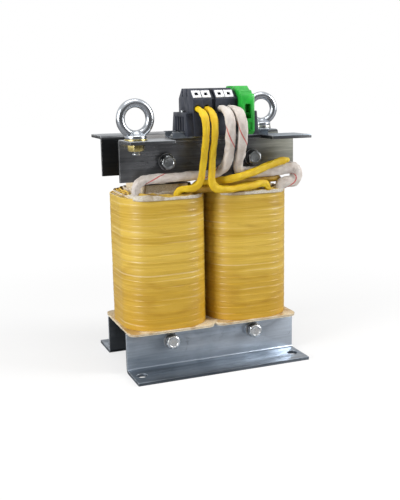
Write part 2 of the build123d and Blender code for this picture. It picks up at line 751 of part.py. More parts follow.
def end_bracket(x0, outward):
    """Screw-down end bracket; its outward face is ribbed. outward is -1 on the left."""
    with BuildPart() as bracket:
        add(block_body(BRACKET_HALF, x0, BRACKET_WIDTH))
        face_x = x0 if outward < 0 else x0 + BRACKET_WIDTH
        with BuildSketch(Plane.YZ.offset(face_x)):
            with Locations((RAIL_Y, TOP + 16.0)):
                with GridLocations(8.0, 1, 4, 1):
                    Rectangle(4.6, 16.0)
        extrude(amount=-outward * RIB_DEPTH, mode=Mode.SUBTRACT)
        with Locations((x0 + BRACKET_WIDTH / 2, RAIL_Y, TOP + BRACKET_HEIGHT)):
            Hole(2.7, 6.0)
        top_edges = bracket.edges().filter_by(Axis.X).group_by(Axis.Z)[-1]
        fillet(top_edges.sort_by(Axis.Y)[0], 1.5)
        fillet(bracket.edges().filter_by(Axis.X).group_by(Axis.Z)[-1].sort_by(Axis.Y)[-1], 1.5)
        with Locations(
            *[(x0 + BRACKET_WIDTH / 2, RAIL_Y + side * bracket_half(z), TOP + z)
              for z in BRACKET_RIDGES for side in (-1, 1)]
        ):
            Box(BRACKET_WIDTH - 2.4, 2.0, 0.9)
    return bracket.part


LEFT_BRACKET_X = BLOCK_X0 - BLOCK_GAP - BRACKET_WIDTH
RIGHT_BRACKET_X = EARTH_X + EARTH_WIDTH + BLOCK_GAP
save(end_bracket(LEFT_BRACKET_X, -1), "end_bracket_left")
save(end_bracket(RIGHT_BRACKET_X, 1), "end_bracket_right")

with BuildPart() as bracket_screws:
    with Locations(
        *[(x + BRACKET_WIDTH / 2, RAIL_Y, TOP + BRACKET_HEIGHT - 6.0) for x in (LEFT_BRACKET_X, RIGHT_BRACKET_X)]
    ):
        Cylinder(2.6, 8.0, align=(Align.CENTER, Align.CENTER, Align.MIN))
    with Locations(
        *[(x + BRACKET_WIDTH / 2, RAIL_Y, TOP + BRACKET_HEIGHT + 2.0) for x in (LEFT_BRACKET_X, RIGHT_BRACKET_X)]
    ):
        Box(6.0, 0.9, 1.6, mode=Mode.SUBTRACT)
save(bracket_screws.part, "bracket_screws")

# ---------------------------------------------------------------- leads
ENTRY_Y = RAIL_Y - BLOCK_FACE + ENTRY_DEPTH
ENTRY_X = [start + (BLOCK_PITCH - BLOCK_GAP) / 2 for start in BLOCK_STARTS]
LEAD_SEAT = COIL_TOP - END_SETBACK

ROUTES = {
    "lead_yellow_a": (YELLOW_D, LEAD_SEAT, [
        (-26.2, -62.8, 316.0), (-26.2, -79.0, 316.0), (-24.6, -87.0, 309.5), (-22.3, -88.0, 298.0),
        (-21.0, -82.0, 280.0), (-19.3, -71.0, 262.0), (-18.6, -64.0, 244.0), (-20.0, -61.0, 232.0),
        (-25.5, -58.6, 223.8), (-35.0, -55.6, 223.2), (-43.0, -52.4, 222.8), (-46.5, -49.2, 216.5),
        (-46.0, -47.4, 207.0),
    ]),
    "lead_yellow_b": (YELLOW_D, LEAD_SEAT, [
        (-14.7, -62.8, 316.0), (-14.7, -79.0, 316.0), (-13.6, -87.5, 309.0), (-12.2, -89.0, 297.0),
        (-10.8, -82.5, 280.0), (-8.8, -71.0, 262.0), (-7.2, -64.5, 244.0), (-7.4, -63.2, 232.0),
        (-3.6, -62.6, 223.0), (6.0, -61.8, 220.4), (24.0, -59.2, 220.0), (48.0, -56.6, 221.6),
        (62.0, -55.4, 225.0), (72.0, -52.4, 221.8), (75.0, -46.5, 207.0),
    ]),
    "lead_yellow_c": (YELLOW_D, LEAD_SEAT, [
        (-22.0, -31.0, 203.0), (-20.0, -33.0, 219.5), (-14.5, -36.0, 227.0), (-4.0, -42.2, 228.4),
        (7.0, -51.0, 230.0), (19.0, -60.4, 232.0), (34.0, -62.8, 235.4), (54.0, -60.6, 241.0),
        (74.0, -59.4, 247.0), (87.0, -58.0, 250.4), (97.0, -55.5, 250.6),
    ]),
    "lead_yellow_d": (YELLOW_D - 0.4, LEAD_SEAT, [
        (-36.0, -45.6, 205.0), (-34.5, -45.5, 214.5), (-30.0, -45.3, 218.8), (-20.0, -44.6, 219.4),
        (0.0, -42.6, 219.6), (14.0, -43.4, 222.0), (28.0, -45.2, 225.6), (44.0, -45.2, 227.4),
        (60.0, -44.9, 227.8), (82.5, -44.9, 228.0), (91.0, -41.6, 228.0), (97.5, -33.0, 223.0),
        (98.0, -27.0, 205.0),
    ]),
    "lead_white_a": (WHITE_D, COIL_TOP, [
        (2.3, -72.1, 316.0), (2.3, -82.5, 316.0), (3.6, -90.5, 311.0), (5.8, -93.5, 299.5),
        (8.0, -86.5, 281.0), (11.5, -73.5, 263.0), (12.5, -61.0, 248.0), (5.0, -53.4, 239.2),
        (-14.0, -50.0, 237.2), (-42.0, -48.8, 237.4), (-68.0, -48.8, 236.0), (-84.0, -49.6, 236.6),
        (-92.0, -49.4, 233.2), (-95.2, -46.2, 226.4), (-93.6, -41.6, 218.0), (-91.0, -38.0, 204.0),
    ]),
    "lead_white_b": (WHITE_D, COIL_TOP, [
        (13.8, -72.1, 316.0), (13.8, -83.0, 316.0), (17.2, -92.0, 311.0), (19.6, -95.3, 299.5),
        (22.4, -88.0, 280.5), (26.2, -74.0, 262.5), (28.0, -61.0, 250.0), (33.0, -52.0, 240.2),
        (48.0, -48.8, 237.4), (70.0, -48.6, 237.2), (86.0, -49.2, 238.2), (98.0, -49.4, 240.0),
        (109.2, -49.6, 240.8), (114.6, -49.2, 232.0), (109.2, -49.2, 223.4), (99.0, -49.2, 223.2),
        (90.5, -48.4, 219.6), (86.5, -46.0, 204.0),
    ]),
}
LEAD_CORE_D = 7.4           # insulated core that leaves each white sleeve and enters its terminal

def lead_radii(points, diameter):
    """One bend radius for each corner: as large as its two runs allow."""
    radii = []
    for before, at, after in zip(points, points[1:], points[2:]):
        first = Vector(*at) - Vector(*before)
        second = Vector(*after) - Vector(*at)
        turn = first.get_angle(second)
        run = min(first.length, second.length)
        radii.append(0.45 * run / math.tan(math.radians(turn) / 2))
    return radii


def lead_body(name, diameter, seat, points):
    """Sleeved lead: straight runs joined by tangent arcs, cut off level where it meets its coil."""
    radii = lead_radii(points, diameter)
    with BuildPart() as lead:
        with BuildLine() as route:
            FilletPolyline(*points, radius=radii)
        line = route.wire()
        with BuildSketch(Plane(origin=line @ 0, z_dir=line % 0)):
            Circle(diameter / 2)
        sweep(path=line)
        ratio = lead.part.volume / (math.pi * diameter ** 2 / 4 * line.length)
        if seat:
            split(bisect_by=Plane.XY.offset(seat + LEAD_CLEAR), keep=Keep.TOP)
    print(
        name, "length", round(line.length, 1), "volume ratio", round(ratio, 4),
        "radii/d", [round(r / diameter, 1) for r in radii],
    )
    return lead.part


for lead_name, (lead_d, lead_seat, lead_points) in ROUTES.items():
    save(lead_body(lead_name, lead_d, lead_seat, lead_points), lead_name)

with BuildPart() as lead_cores:
    for x in ENTRY_X[2:]:
        with BuildSketch(Plane(origin=(x, ENTRY_Y, TOP + ENTRY_Z), x_dir=(1, 0, 0), z_dir=(0, -1, 0))):
            Circle(LEAD_CORE_D / 2)
        extrude(amount=ENTRY_DEPTH + 0.3)
save(lead_cores.part, "lead_cores")

print(len(NODES), "nodes")
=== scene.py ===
"""Dry type transformer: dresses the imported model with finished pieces, materials, light and camera.

Metres, +Z up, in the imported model's own frame: the origin is the centre of the four foot holes.
Sizes in the classes that make meshes are in millimetres, and those in finishes are in metres.
"""
from __future__ import annotations

import json
import logging
import math
from dataclasses import dataclass
from enum import Enum
from typing import Sequence

import bmesh
import bpy
from mathutils import Matrix, Vector, noise

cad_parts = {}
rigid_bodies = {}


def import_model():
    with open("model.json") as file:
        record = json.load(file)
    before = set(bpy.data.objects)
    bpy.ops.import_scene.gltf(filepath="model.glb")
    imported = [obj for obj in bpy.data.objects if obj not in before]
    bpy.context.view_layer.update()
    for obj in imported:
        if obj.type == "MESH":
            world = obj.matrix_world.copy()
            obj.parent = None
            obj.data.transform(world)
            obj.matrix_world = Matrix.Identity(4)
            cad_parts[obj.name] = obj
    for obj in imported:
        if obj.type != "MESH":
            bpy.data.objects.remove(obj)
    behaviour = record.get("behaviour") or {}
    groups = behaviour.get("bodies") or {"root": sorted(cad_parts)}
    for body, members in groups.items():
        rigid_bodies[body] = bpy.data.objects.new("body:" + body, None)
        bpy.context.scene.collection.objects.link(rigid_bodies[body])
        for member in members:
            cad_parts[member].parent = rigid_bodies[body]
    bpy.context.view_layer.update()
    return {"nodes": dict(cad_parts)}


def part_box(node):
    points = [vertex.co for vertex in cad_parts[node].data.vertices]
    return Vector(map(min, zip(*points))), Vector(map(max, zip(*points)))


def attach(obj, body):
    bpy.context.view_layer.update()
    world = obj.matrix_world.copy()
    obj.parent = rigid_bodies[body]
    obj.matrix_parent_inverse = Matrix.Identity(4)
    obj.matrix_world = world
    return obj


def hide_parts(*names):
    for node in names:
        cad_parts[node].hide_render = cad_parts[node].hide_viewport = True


LOG = logging.getLogger("transformer")
MM = 0.001
TURN = 2 * math.pi
LIMB = 55.5
BOLT_PLACES = ((-LIMB, 35.0), (LIMB, 35.0), (-LIMB, 255.0), (LIMB, 255.0))
Colour = tuple[float, float, float]
Socket = bpy.types.NodeSocket
Outputs = bpy.types.NodeOutputs
Tree = bpy.types.NodeTree
Value = float | Sequence[float] | Socket
Mesh, Vert, Edge = bmesh.types.BMesh, bmesh.types.BMVert, bmesh.types.BMEdge
Layer = bmesh.types.BMLayerItem


# ---------------- shader graphs
class Graph:
    """Short hand for building a node tree."""

    def __init__(self, tree: Tree) -> None:
        """Keep the tree that the nodes go into."""
        self.tree = tree

    @classmethod
    def blank(cls, owner: bpy.types.Material | bpy.types.World) -> Graph:
        """Return a graph on the emptied node tree of a material or world."""
        owner.use_nodes = True
        owner.node_tree.nodes.clear()
        return cls(owner.node_tree)

    def add(self, kind: str, inputs: dict[str | int, Value] | None = None, **props: object) -> bpy.types.Node:
        """Add one node, set its properties, and fill or link its inputs.

        Args:
            kind: the node's type name without the ShaderNode prefix.
            inputs: input name or index to a constant or an output socket.
            **props: properties set on the node before its inputs.

        Returns:
            The new node.
        """
        node = self.tree.nodes.new(kind if kind.startswith("Node") else "ShaderNode" + kind)
        for key, value in props.items():
            setattr(node, key, value)
        for key, value in (inputs or {}).items():
            if isinstance(value, Socket):
                self.tree.links.new(value, node.inputs[key])
            else:
                node.inputs[key].default_value = value
        return node

    def math(self, operation: str, a: Value, b: Value = 0.0, clamp: bool = False) -> Socket:
        """Return the output of a Math node on a and b."""
        return self.add("Math", {0: a, 1: b}, operation=operation, use_clamp=clamp).outputs[0]

    def times(self, a: Value, b: Value) -> Socket:
        """Return a times b."""
        return self.math("MULTIPLY", a, b)

    def plus(self, a: Value, b: Value) -> Socket:
        """Return a plus b."""
        return self.math("ADD", a, b)

    def ramp(self, value: Socket, low: float, high: float, to_low: float = 0.0,
             to_high: float = 1.0) -> Socket:
        """Return value mapped smoothly from low..high to to_low..to_high."""
        inputs = {"Value": value, "From Min": low, "From Max": high, "To Min": to_low, "To Max": to_high}
        return self.add("MapRange", inputs, interpolation_type="SMOOTHSTEP").outputs["Result"]

    def mix(self, factor: Value, a: Value, b: Value) -> Socket:
        """Return colours a and b mixed by factor."""
        ends = {key: end if isinstance(end, Socket) else (*end, 1.0) for key, end in ((6, a), (7, b))}
        return self.add("Mix", {0: factor, **ends}, data_type="RGBA", clamp_factor=True).outputs[2]

    def tint(self, colour: Socket, mask: Socket, share: float, new: Colour) -> Socket:
        """Return colour with a share of a new one laid over it through a mask."""
        return self.mix(self.times(mask, share), colour, new)

    def noise(self, vector: Socket, scale: Value, detail: float = 3.0, rough: float = 0.5,
              warp: float = 0.0) -> Socket:
        """Return the value of a noise texture over vector."""
        inputs = {"Vector": vector, "Scale": scale, "Detail": detail, "Roughness": rough, "Distortion": warp}
        return self.add("TexNoise", inputs).outputs["Fac"]

    def stretch(self, vector: Socket, scale: Value) -> Socket:
        """Return vector multiplied by scale, axis by axis."""
        return self.add("VectorMath", {0: vector, 1: scale}, operation="MULTIPLY").outputs[0]

    def split(self, vector: Socket) -> Outputs:
        """Return a vector's parts as outputs named X, Y and Z."""
        return self.add("SeparateXYZ", {0: vector}).outputs

    def join(self, *parts: Value) -> Socket:
        """Return a vector made of up to three parts."""
        return self.add("CombineXYZ", dict(enumerate(parts))).outputs[0]

    def place(self) -> Socket:
        """Return the object's own coordinates, in metres."""
        return self.add("TexCoord").outputs["Object"]

    def mask(self, name: str) -> Socket:
        """Return a value that the mesh carries."""
        return self.add("Attribute", attribute_name=name, attribute_type="GEOMETRY").outputs["Fac"]

    def bump(self, height: Socket, strength: float, depth: float) -> Socket:
        """Return the normal of a relief that is depth metres deep."""
        return self.add("Bump", {"Height": height, "Strength": strength, "Distance": depth}).outputs["Normal"]

    def effect(self, tree: Tree, vector: Socket, **values: Value) -> Outputs:
        """Return the outputs of a shared effect over vector, with its other inputs set."""
        return self.add("Group", {"Vector": vector, **values}, node_tree=tree).outputs


def new_group(name: str, inputs: dict[str, float | Colour | None],
              outputs: Sequence[str]) -> tuple[Graph, Outputs]:
    """Make an empty shader group with named sockets.

    Args:
        name: the group's name.
        inputs: each input's name and default; a number makes a value, anything else a vector.
        outputs: names of the values that it gives.

    Returns:
        A graph on the group, and the sockets that bring its inputs.
    """
    tree = bpy.data.node_groups.new(name, "ShaderNodeTree")
    for label, default in inputs.items():
        kind = "NodeSocketFloat" if isinstance(default, float) else "NodeSocketVector"
        socket = tree.interface.new_socket(name=label, in_out="INPUT", socket_type=kind)
        if default is not None:
            socket.default_value = default
    for label in outputs:
        tree.interface.new_socket(name=label, in_out="OUTPUT", socket_type="NodeSocketFloat")
    g = Graph(tree)
    return g, g.add("NodeGroupInput").outputs


class Effects:
    """Surface effects shared by several materials, each a node group built once."""

    def __init__(self) -> None:
        """Build the groups."""
        self.grain = self._grain()
        self.mottle = self._mottle()
        self.wear = self._wear()
        self.weave = self._weave()

    @staticmethod
    def _grain() -> Tree:
        """Drawn or brushed lines: noise pulled out along one axis, in two sizes."""
        g, given = new_group("drawn_grain", {"Vector": None, "Pull": (30.0, 900.0, 900.0), "Contrast": 0.5},
                             ["Lines"])
        pulled = g.stretch(given["Vector"], given["Pull"])
        coarse, fine = g.noise(pulled, 0.35, 2.0), g.noise(pulled, 1.6, 5.0, 0.7)
        both = g.plus(g.times(coarse, 0.55), g.times(fine, 0.45))
        spread = g.times(g.math("SUBTRACT", both, 0.5), g.times(given["Contrast"], 4.0))
        g.add("NodeGroupOutput", {"Lines": g.math("ADD", spread, 0.5, clamp=True)})
        return g.tree

    @staticmethod
    def _mottle() -> Tree:
        """Soft clouds with a few sharper stains."""
        g, given = new_group("mottle", {"Vector": None, "Scale": 30.0}, ["Clouds", "Stains"])
        clouds = g.noise(given["Vector"], given["Scale"], 4.0, 0.55, 0.4)
        spots = g.noise(given["Vector"], g.times(given["Scale"], 2.7), 6.0, 0.7, 1.2)
        g.add("NodeGroupOutput", {"Clouds": g.ramp(clouds, 0.32, 0.68), "Stains": g.ramp(spots, 0.60, 0.72)})
        return g.tree

    @staticmethod
    def _wear() -> Tree:
        """Rubbed edges with painted highlights: the mask that the bevels carry, broken up a little."""
        g, given = new_group("edge_wear", {"Vector": None, "Amount": 1.0}, ["Rubbed_and_highlight"])
        patches = g.ramp(g.noise(given["Vector"], 160.0, 3.0, 0.6), 0.35, 0.6, 0.35, 1.0)
        worn_and_lit = g.times(g.mask("wear"), patches)
        g.add("NodeGroupOutput", {"Rubbed_and_highlight": g.math("MULTIPLY", worn_and_lit, given["Amount"], clamp=True)})
        return g.tree

    @staticmethod
    def _weave() -> Tree:
        """Braided threads that cross at an angle, on a piece's own UV map."""
        g, given = new_group("braid", {"Vector": None, "Across": 26.0, "Along": 900.0}, ["Threads", "Loose"])
        parts = g.split(given["Vector"])
        around, along = g.times(parts["X"], given["Across"]), g.times(parts["Y"], given["Along"])
        ways = [g.math("SINE", g.times(g.math(sign, around, along), TURN)) for sign in ("ADD", "SUBTRACT")]
        threads = g.times(g.math("MAXIMUM", *ways), 0.5)
        loose = g.noise(g.join(g.times(around, 0.09), g.times(along, 0.022)), 2.2, 4.0, 0.6)
        g.add("NodeGroupOutput", {"Threads": g.math("ADD", threads, 0.5, clamp=True), "Loose": loose})
        return g.tree


# ---------------- finishes
class Look(Enum):
    """The finishes on this object."""

    FOOT_STEEL = "foot_steel"
    FRAME_STEEL = "frame_steel"
    CORE_STEEL = "core_steel"
    BOARD = "board"
    PAPER = "collar_paper"
    TAPE = "coil_tape"
    TAPE_END = "coil_end"
    MARGIN = "margin_paper"
    COPPER = "copper_winding"
    ZINC = "zinc_bolts"
    SPRING = "spring_steel"
    WASHER = "dark_washers"
    EYE = "eye_steel"
    PASSIVATED = "yellow_zinc"
    RAIL = "rail_zinc"
    GREY = "grey_plastic"
    MARKER = "marker_plastic"
    GREEN = "green_plastic"
    YELLOW_SLEEVE = "yellow_sleeve"
    WHITE_SLEEVE = "white_sleeve"
    INSULATION = "core_insulation"
    OCHRE_SLEEVE = "ochre_sleeve"


@dataclass(frozen=True)
class Patch:
    """A change of tone that grows along one axis, between two heights, in metres."""

    axis: str
    start: float
    end: float
    colour: Colour
    share: float
    low: float = -1.0
    high: float = 1.0
    fade: float = 0.0004


@dataclass(frozen=True)
class Metal:
    """A bare, plated or rolled metal.

    Attributes are its two tones, its gloss range, how far its grain is pulled out along each axis,
    how strong the grain and the clouds show, how much its edges are lightened as rubbed and as painted
    highlight, the half width inside which painted shade keeps it dark and unbrushed, with that shade's
    colour, and the patches where its tone changes, which on the steel angles are painted highlights,
    reflections and shade.
    """

    light: Colour
    dark: Colour
    rough: tuple[float, float] = (0.22, 0.4)
    pull: tuple[float, float, float] = (500.0, 500.0, 500.0)
    grain: float = 0.3
    clouds: float = 90.0
    metallic: float = 1.0
    bump: float = 0.04
    rubbed: Colour = (0.8, 0.8, 0.8)
    rub: float = 0.6
    stain: Colour | None = None
    # half width of Y and colour of the painted shade on the angles' inner faces
    inner: float = 0.0
    painted_shade: Colour = (0.008, 0.009, 0.01)
    patches: tuple[Patch, ...] = ()

    def build(self, g: Graph, fx: Effects) -> dict[str, Value]:
        """Return the shader's inputs for this finish."""
        place = g.place()
        lines = g.effect(fx.grain, place, Pull=self.pull, Contrast=self.grain)["Lines"]
        mottle = g.effect(fx.mottle, place, Scale=self.clouds)
        tone = g.plus(g.times(lines, 0.5), g.times(mottle["Clouds"], 0.5))
        colour = g.mix(tone, self.dark, self.light)
        if self.stain:
            colour = g.tint(colour, mottle["Stains"], 0.6, self.stain)
        parts = g.split(place)
        # patches change the tone by place; on the steel angles they are painted highlights, reflections and
        # shade
        for patch in self.patches:
            far = g.ramp(parts[patch.axis], patch.start, patch.end, 0.0, patch.share)
            above = g.ramp(parts["Z"], patch.low - patch.fade, patch.low)
            below = g.ramp(parts["Z"], patch.high + patch.fade, patch.high)
            streaks = g.ramp(lines, 0.2, 0.8, 0.6, 1.0)
            colour = g.mix(g.times(g.times(far, streaks), g.times(above, below)), colour, patch.colour)
        # painted shade: the angles' inner faces, within that half width of Y, darkened
        if self.inner:
            inside = g.ramp(g.math("ABSOLUTE", parts["Y"]), self.inner, self.inner + 0.0006, 0.88, 0.0)
            colour = g.mix(inside, colour, self.painted_shade)
        # edges lightened for wear and as painted highlights
        rubbed = g.effect(fx.wear, place, Amount=self.rub)["Rubbed_and_highlight"]
        return {"Base Color": g.mix(rubbed, colour, self.rubbed), "Metallic": self.metallic,
                "Roughness": g.ramp(tone, 0.1, 0.9, self.rough[1], self.rough[0]),
                "Normal": g.bump(lines, self.bump, 0.0006)}


@dataclass(frozen=True)
class Laminated:
    """Stacked sheets seen on edge: fine lines across Y, uneven in tone, under thin varnish."""

    light: Colour = (0.20, 0.19, 0.18)
    dark: Colour = (0.045, 0.042, 0.04)
    pitch: float = 0.0007

    def build(self, g: Graph, fx: Effects) -> dict[str, Value]:
        """Return the shader's inputs for this finish."""
        place = g.place()
        sheet = g.math("DIVIDE", g.split(place)["Y"], self.pitch)
        gap = g.ramp(g.math("PINGPONG", sheet, 0.5), 0.0, 0.16)
        each = g.add("TexWhiteNoise", {"W": g.math("FLOOR", sheet)}, noise_dimensions="1D").outputs["Value"]
        clouds = g.ramp(g.effect(fx.mottle, place, Scale=40.0)["Clouds"], 0.0, 1.0, 0.6, 1.0)
        tone = g.times(g.times(g.plus(g.times(each, 0.6), 0.4), gap), clouds)
        return {"Base Color": g.mix(tone, self.dark, self.light), "Metallic": 0.6,
                "Roughness": g.ramp(tone, 0.0, 1.0, 0.65, 0.38), "Normal": g.bump(tone, 0.35, 0.0004),
                "Coat Weight": 0.25, "Coat Roughness": 0.35}


@dataclass(frozen=True)
class Plastic:
    """Moulded plastic with a fine spark grain and edges lightened as polished and as painted highlights."""

    colour: Colour
    shade: Colour
    rough: float = 0.42
    grain: float = 0.12
    gloss: float = 0.5

    def build(self, g: Graph, fx: Effects) -> dict[str, Value]:
        """Return the shader's inputs for this finish."""
        place = g.place()
        clouds = g.effect(fx.mottle, place, Scale=55.0)["Clouds"]
        # edges lightened as polish and as painted highlights
        rubbed = g.effect(fx.wear, place, Amount=0.5)["Rubbed_and_highlight"]
        polished_highlight = tuple(min(1.0, c * 1.9 + 0.03) for c in self.colour)
        return {"Base Color": g.mix(rubbed, g.mix(clouds, self.shade, self.colour), polished_highlight),
                "Roughness": g.ramp(clouds, 0.0, 1.0, self.rough + 0.06, self.rough - 0.05),
                "Normal": g.bump(g.noise(place, 2600.0, 2.0, 0.6), self.grain, 0.0002),
                "Specular IOR Level": self.gloss}


@dataclass(frozen=True)
class Tape:
    """Varnished cloth tape: golden, streaked along its length, deeper amber towards the bottom, darker where
    varnish pooled, with painted shade in the laps and painted glints along them.
    """

    light: Colour = (0.76, 0.52, 0.085)
    gold: Colour = (0.56, 0.345, 0.030)
    amber: Colour = (0.56, 0.30, 0.010)
    deep: Colour = (0.32, 0.14, 0.003)
    # colour of the painted glints, thin highlights along laps and fine streaks
    glint: Colour = (0.98, 0.88, 0.56)
    coat: float = 0.22

    @staticmethod
    def streaks(g: Graph, ring: Socket, around: float, up: float, *shape: float) -> Socket:
        """Return noise over the ring, with its density around and up, then its detail, roughness and warp."""
        return g.noise(g.stretch(ring, (around, around, up)), 1.0, *shape)

    def build(self, g: Graph, fx: Effects) -> dict[str, Value]:
        """Return the shader's inputs for this finish."""
        flat = g.split(g.add("UVMap", uv_map="wrap").outputs["UV"])
        turn = g.times(flat["X"], TURN)
        ring = g.join(g.math("COSINE", turn), g.math("SINE", turn), flat["Y"])
        long = self.streaks(g, ring, 0.472, 460.0, 5.0, 0.62, 0.3)
        fine = self.streaks(g, ring, 1.18, 1300.0, 3.0, 0.6)
        bands = self.streaks(g, ring, 0.236, 105.0, 2.0, 0.5, 0.2)
        broad = self.streaks(g, ring, 0.767, 62.0, 3.0, 0.5, 0.6)
        cloth = self.streaks(g, ring, 88.5, 1500.0, 1.0, 0.5)
        broken = self.streaks(g, ring, 0.649, 130.0, 2.0, 0.6)
        place, lap = g.place(), g.mask("lap")
        shade = g.plus(g.times(g.ramp(long, 0.30, 0.70), 0.50), g.times(g.ramp(bands, 0.40, 0.60), 0.55))
        colour = g.mix(shade, self.gold, self.light)
        # deeper amber towards the bottom
        colour = g.mix(g.ramp(g.split(place)["Z"], 0.055, 0.150, 0.60, 0.0), colour, self.amber)
        # painted glints along the lap edges, broken up
        seam = g.times(g.ramp(lap, 0.30, 0.60), g.ramp(broken, 0.50, 0.68))
        stains = g.effect(fx.mottle, place, Scale=60.0)["Stains"]
        # tints in turn: random deep bands, painted glints on fine streaks, random dark streaks, painted
        # glints on the lap seams, painted shade in the laps, varnish stains
        for mask, share, new in (
                (g.ramp(broad, 0.50, 0.76), 0.40, self.deep), (g.ramp(fine, 0.60, 0.78), 0.12, self.glint),
                (g.ramp(fine, 0.42, 0.26), 0.25, self.deep), (seam, 0.30, self.glint),
                (g.ramp(lap, 0.75, 1.0), 0.30, self.deep), (stains, 0.16, self.deep)):
            colour = g.tint(colour, mask, share, new)
        height = g.plus(g.plus(g.times(long, 0.9), g.times(cloth, 0.10)), g.times(fine, 0.35))
        return {"Base Color": colour, "Roughness": g.ramp(long, 0.2, 0.8, 0.46, 0.30), "IOR": 1.42,
                "Normal": g.bump(height, 0.45, 0.0008), "Coat Weight": self.coat, "Coat Roughness": 0.26}


@dataclass(frozen=True)
class Sheet:
    """Pressboard or insulating paper: fibres, varnish stains from below and crushed edges lightened, partly
    as painted highlight.
    """

    light: Colour
    dark: Colour
    varnish: Colour
    soaked: float
    fibre: float

    def build(self, g: Graph, fx: Effects) -> dict[str, Value]:
        """Return the shader's inputs for this finish."""
        place = g.place()
        fibres = g.noise(g.stretch(place, (1.0, 1.0, 1.6)), self.fibre, 5.0, 0.7, 0.4)
        clouds = g.effect(fx.mottle, place, Scale=42.0)["Clouds"]
        soak = g.times(g.ramp(clouds, 0.35, 0.95), self.soaked)
        colour = g.mix(soak, g.mix(g.ramp(fibres, 0.3, 0.7), self.dark, self.light), self.varnish)
        # edges lightened for wear and as painted highlight
        rubbed = g.effect(fx.wear, place, Amount=0.9)["Rubbed_and_highlight"]
        return {"Base Color": g.mix(rubbed, colour, self.light), "Normal": g.bump(fibres, 0.35, 0.0005),
                "Roughness": g.ramp(soak, 0.0, 0.6, 0.78, 0.36)}


@dataclass(frozen=True)
class Sleeve:
    """Braided sleeve on its own UV map, with an optional coloured tracer thread winding round it."""

    light: Colour
    dark: Colour
    gloss: float
    across: float = 18.0
    along: float = 640.0
    tracer: Colour | None = None
    tracer_pitch: float = 0.072
    coat: float = 0.0
    bump: float = 0.35
    sheen: float = 0.0

    def build(self, g: Graph, fx: Effects) -> dict[str, Value]:
        """Return the shader's inputs for this finish."""
        flat = g.add("UVMap", uv_map="sleeve").outputs["UV"]
        braid = g.effect(fx.weave, flat, Across=self.across, Along=self.along)
        clouds = g.effect(fx.mottle, g.place(), Scale=90.0)["Clouds"]
        tone = g.plus(g.times(braid["Threads"], 0.35), g.times(clouds, 0.65))
        colour = g.mix(tone, self.dark, self.light)
        if self.tracer:
            parts = g.split(flat)
            turn = g.plus(parts["X"], g.math("DIVIDE", parts["Y"], self.tracer_pitch))
            thread = g.ramp(g.math("PINGPONG", turn, 0.5), 0.012, 0.030, 1.0, 0.0)
            broken = g.ramp(braid["Loose"], 0.3, 0.45, 0.45, 1.0)
            colour = g.mix(g.times(thread, broken), colour, self.tracer)
        height = g.plus(braid["Threads"], g.times(braid["Loose"], 1.4))
        rough = g.ramp(tone, 0.0, 1.0, self.gloss + 0.12, self.gloss - 0.06)
        return {"Base Color": colour, "Roughness": rough, "Normal": g.bump(height, self.bump, 0.0004),
                "Coat Weight": self.coat, "Coat Roughness": 0.3, "Sheen Weight": self.sheen}


@dataclass(frozen=True)
class Wound:
    """Enamelled winding wire under varnish: turns on top of each other."""

    light: Colour = (0.62, 0.30, 0.12)
    dark: Colour = (0.20, 0.07, 0.02)
    pitch: float = 0.0022

    def build(self, g: Graph, fx: Effects) -> dict[str, Value]:
        """Return the shader's inputs for this finish."""
        place = g.place()
        turn = g.math("DIVIDE", g.split(place)["Z"], self.pitch)
        rise = g.ramp(g.math("PINGPONG", turn, 0.5), 0.0, 0.5)
        clouds = g.effect(fx.mottle, place)["Clouds"]
        tone = g.times(rise, g.ramp(clouds, 0.0, 1.0, 0.6, 1.0))
        return {"Base Color": g.mix(tone, self.dark, self.light), "Metallic": 0.7, "Roughness": 0.3,
                "Normal": g.bump(rise, 0.6, 0.001)}
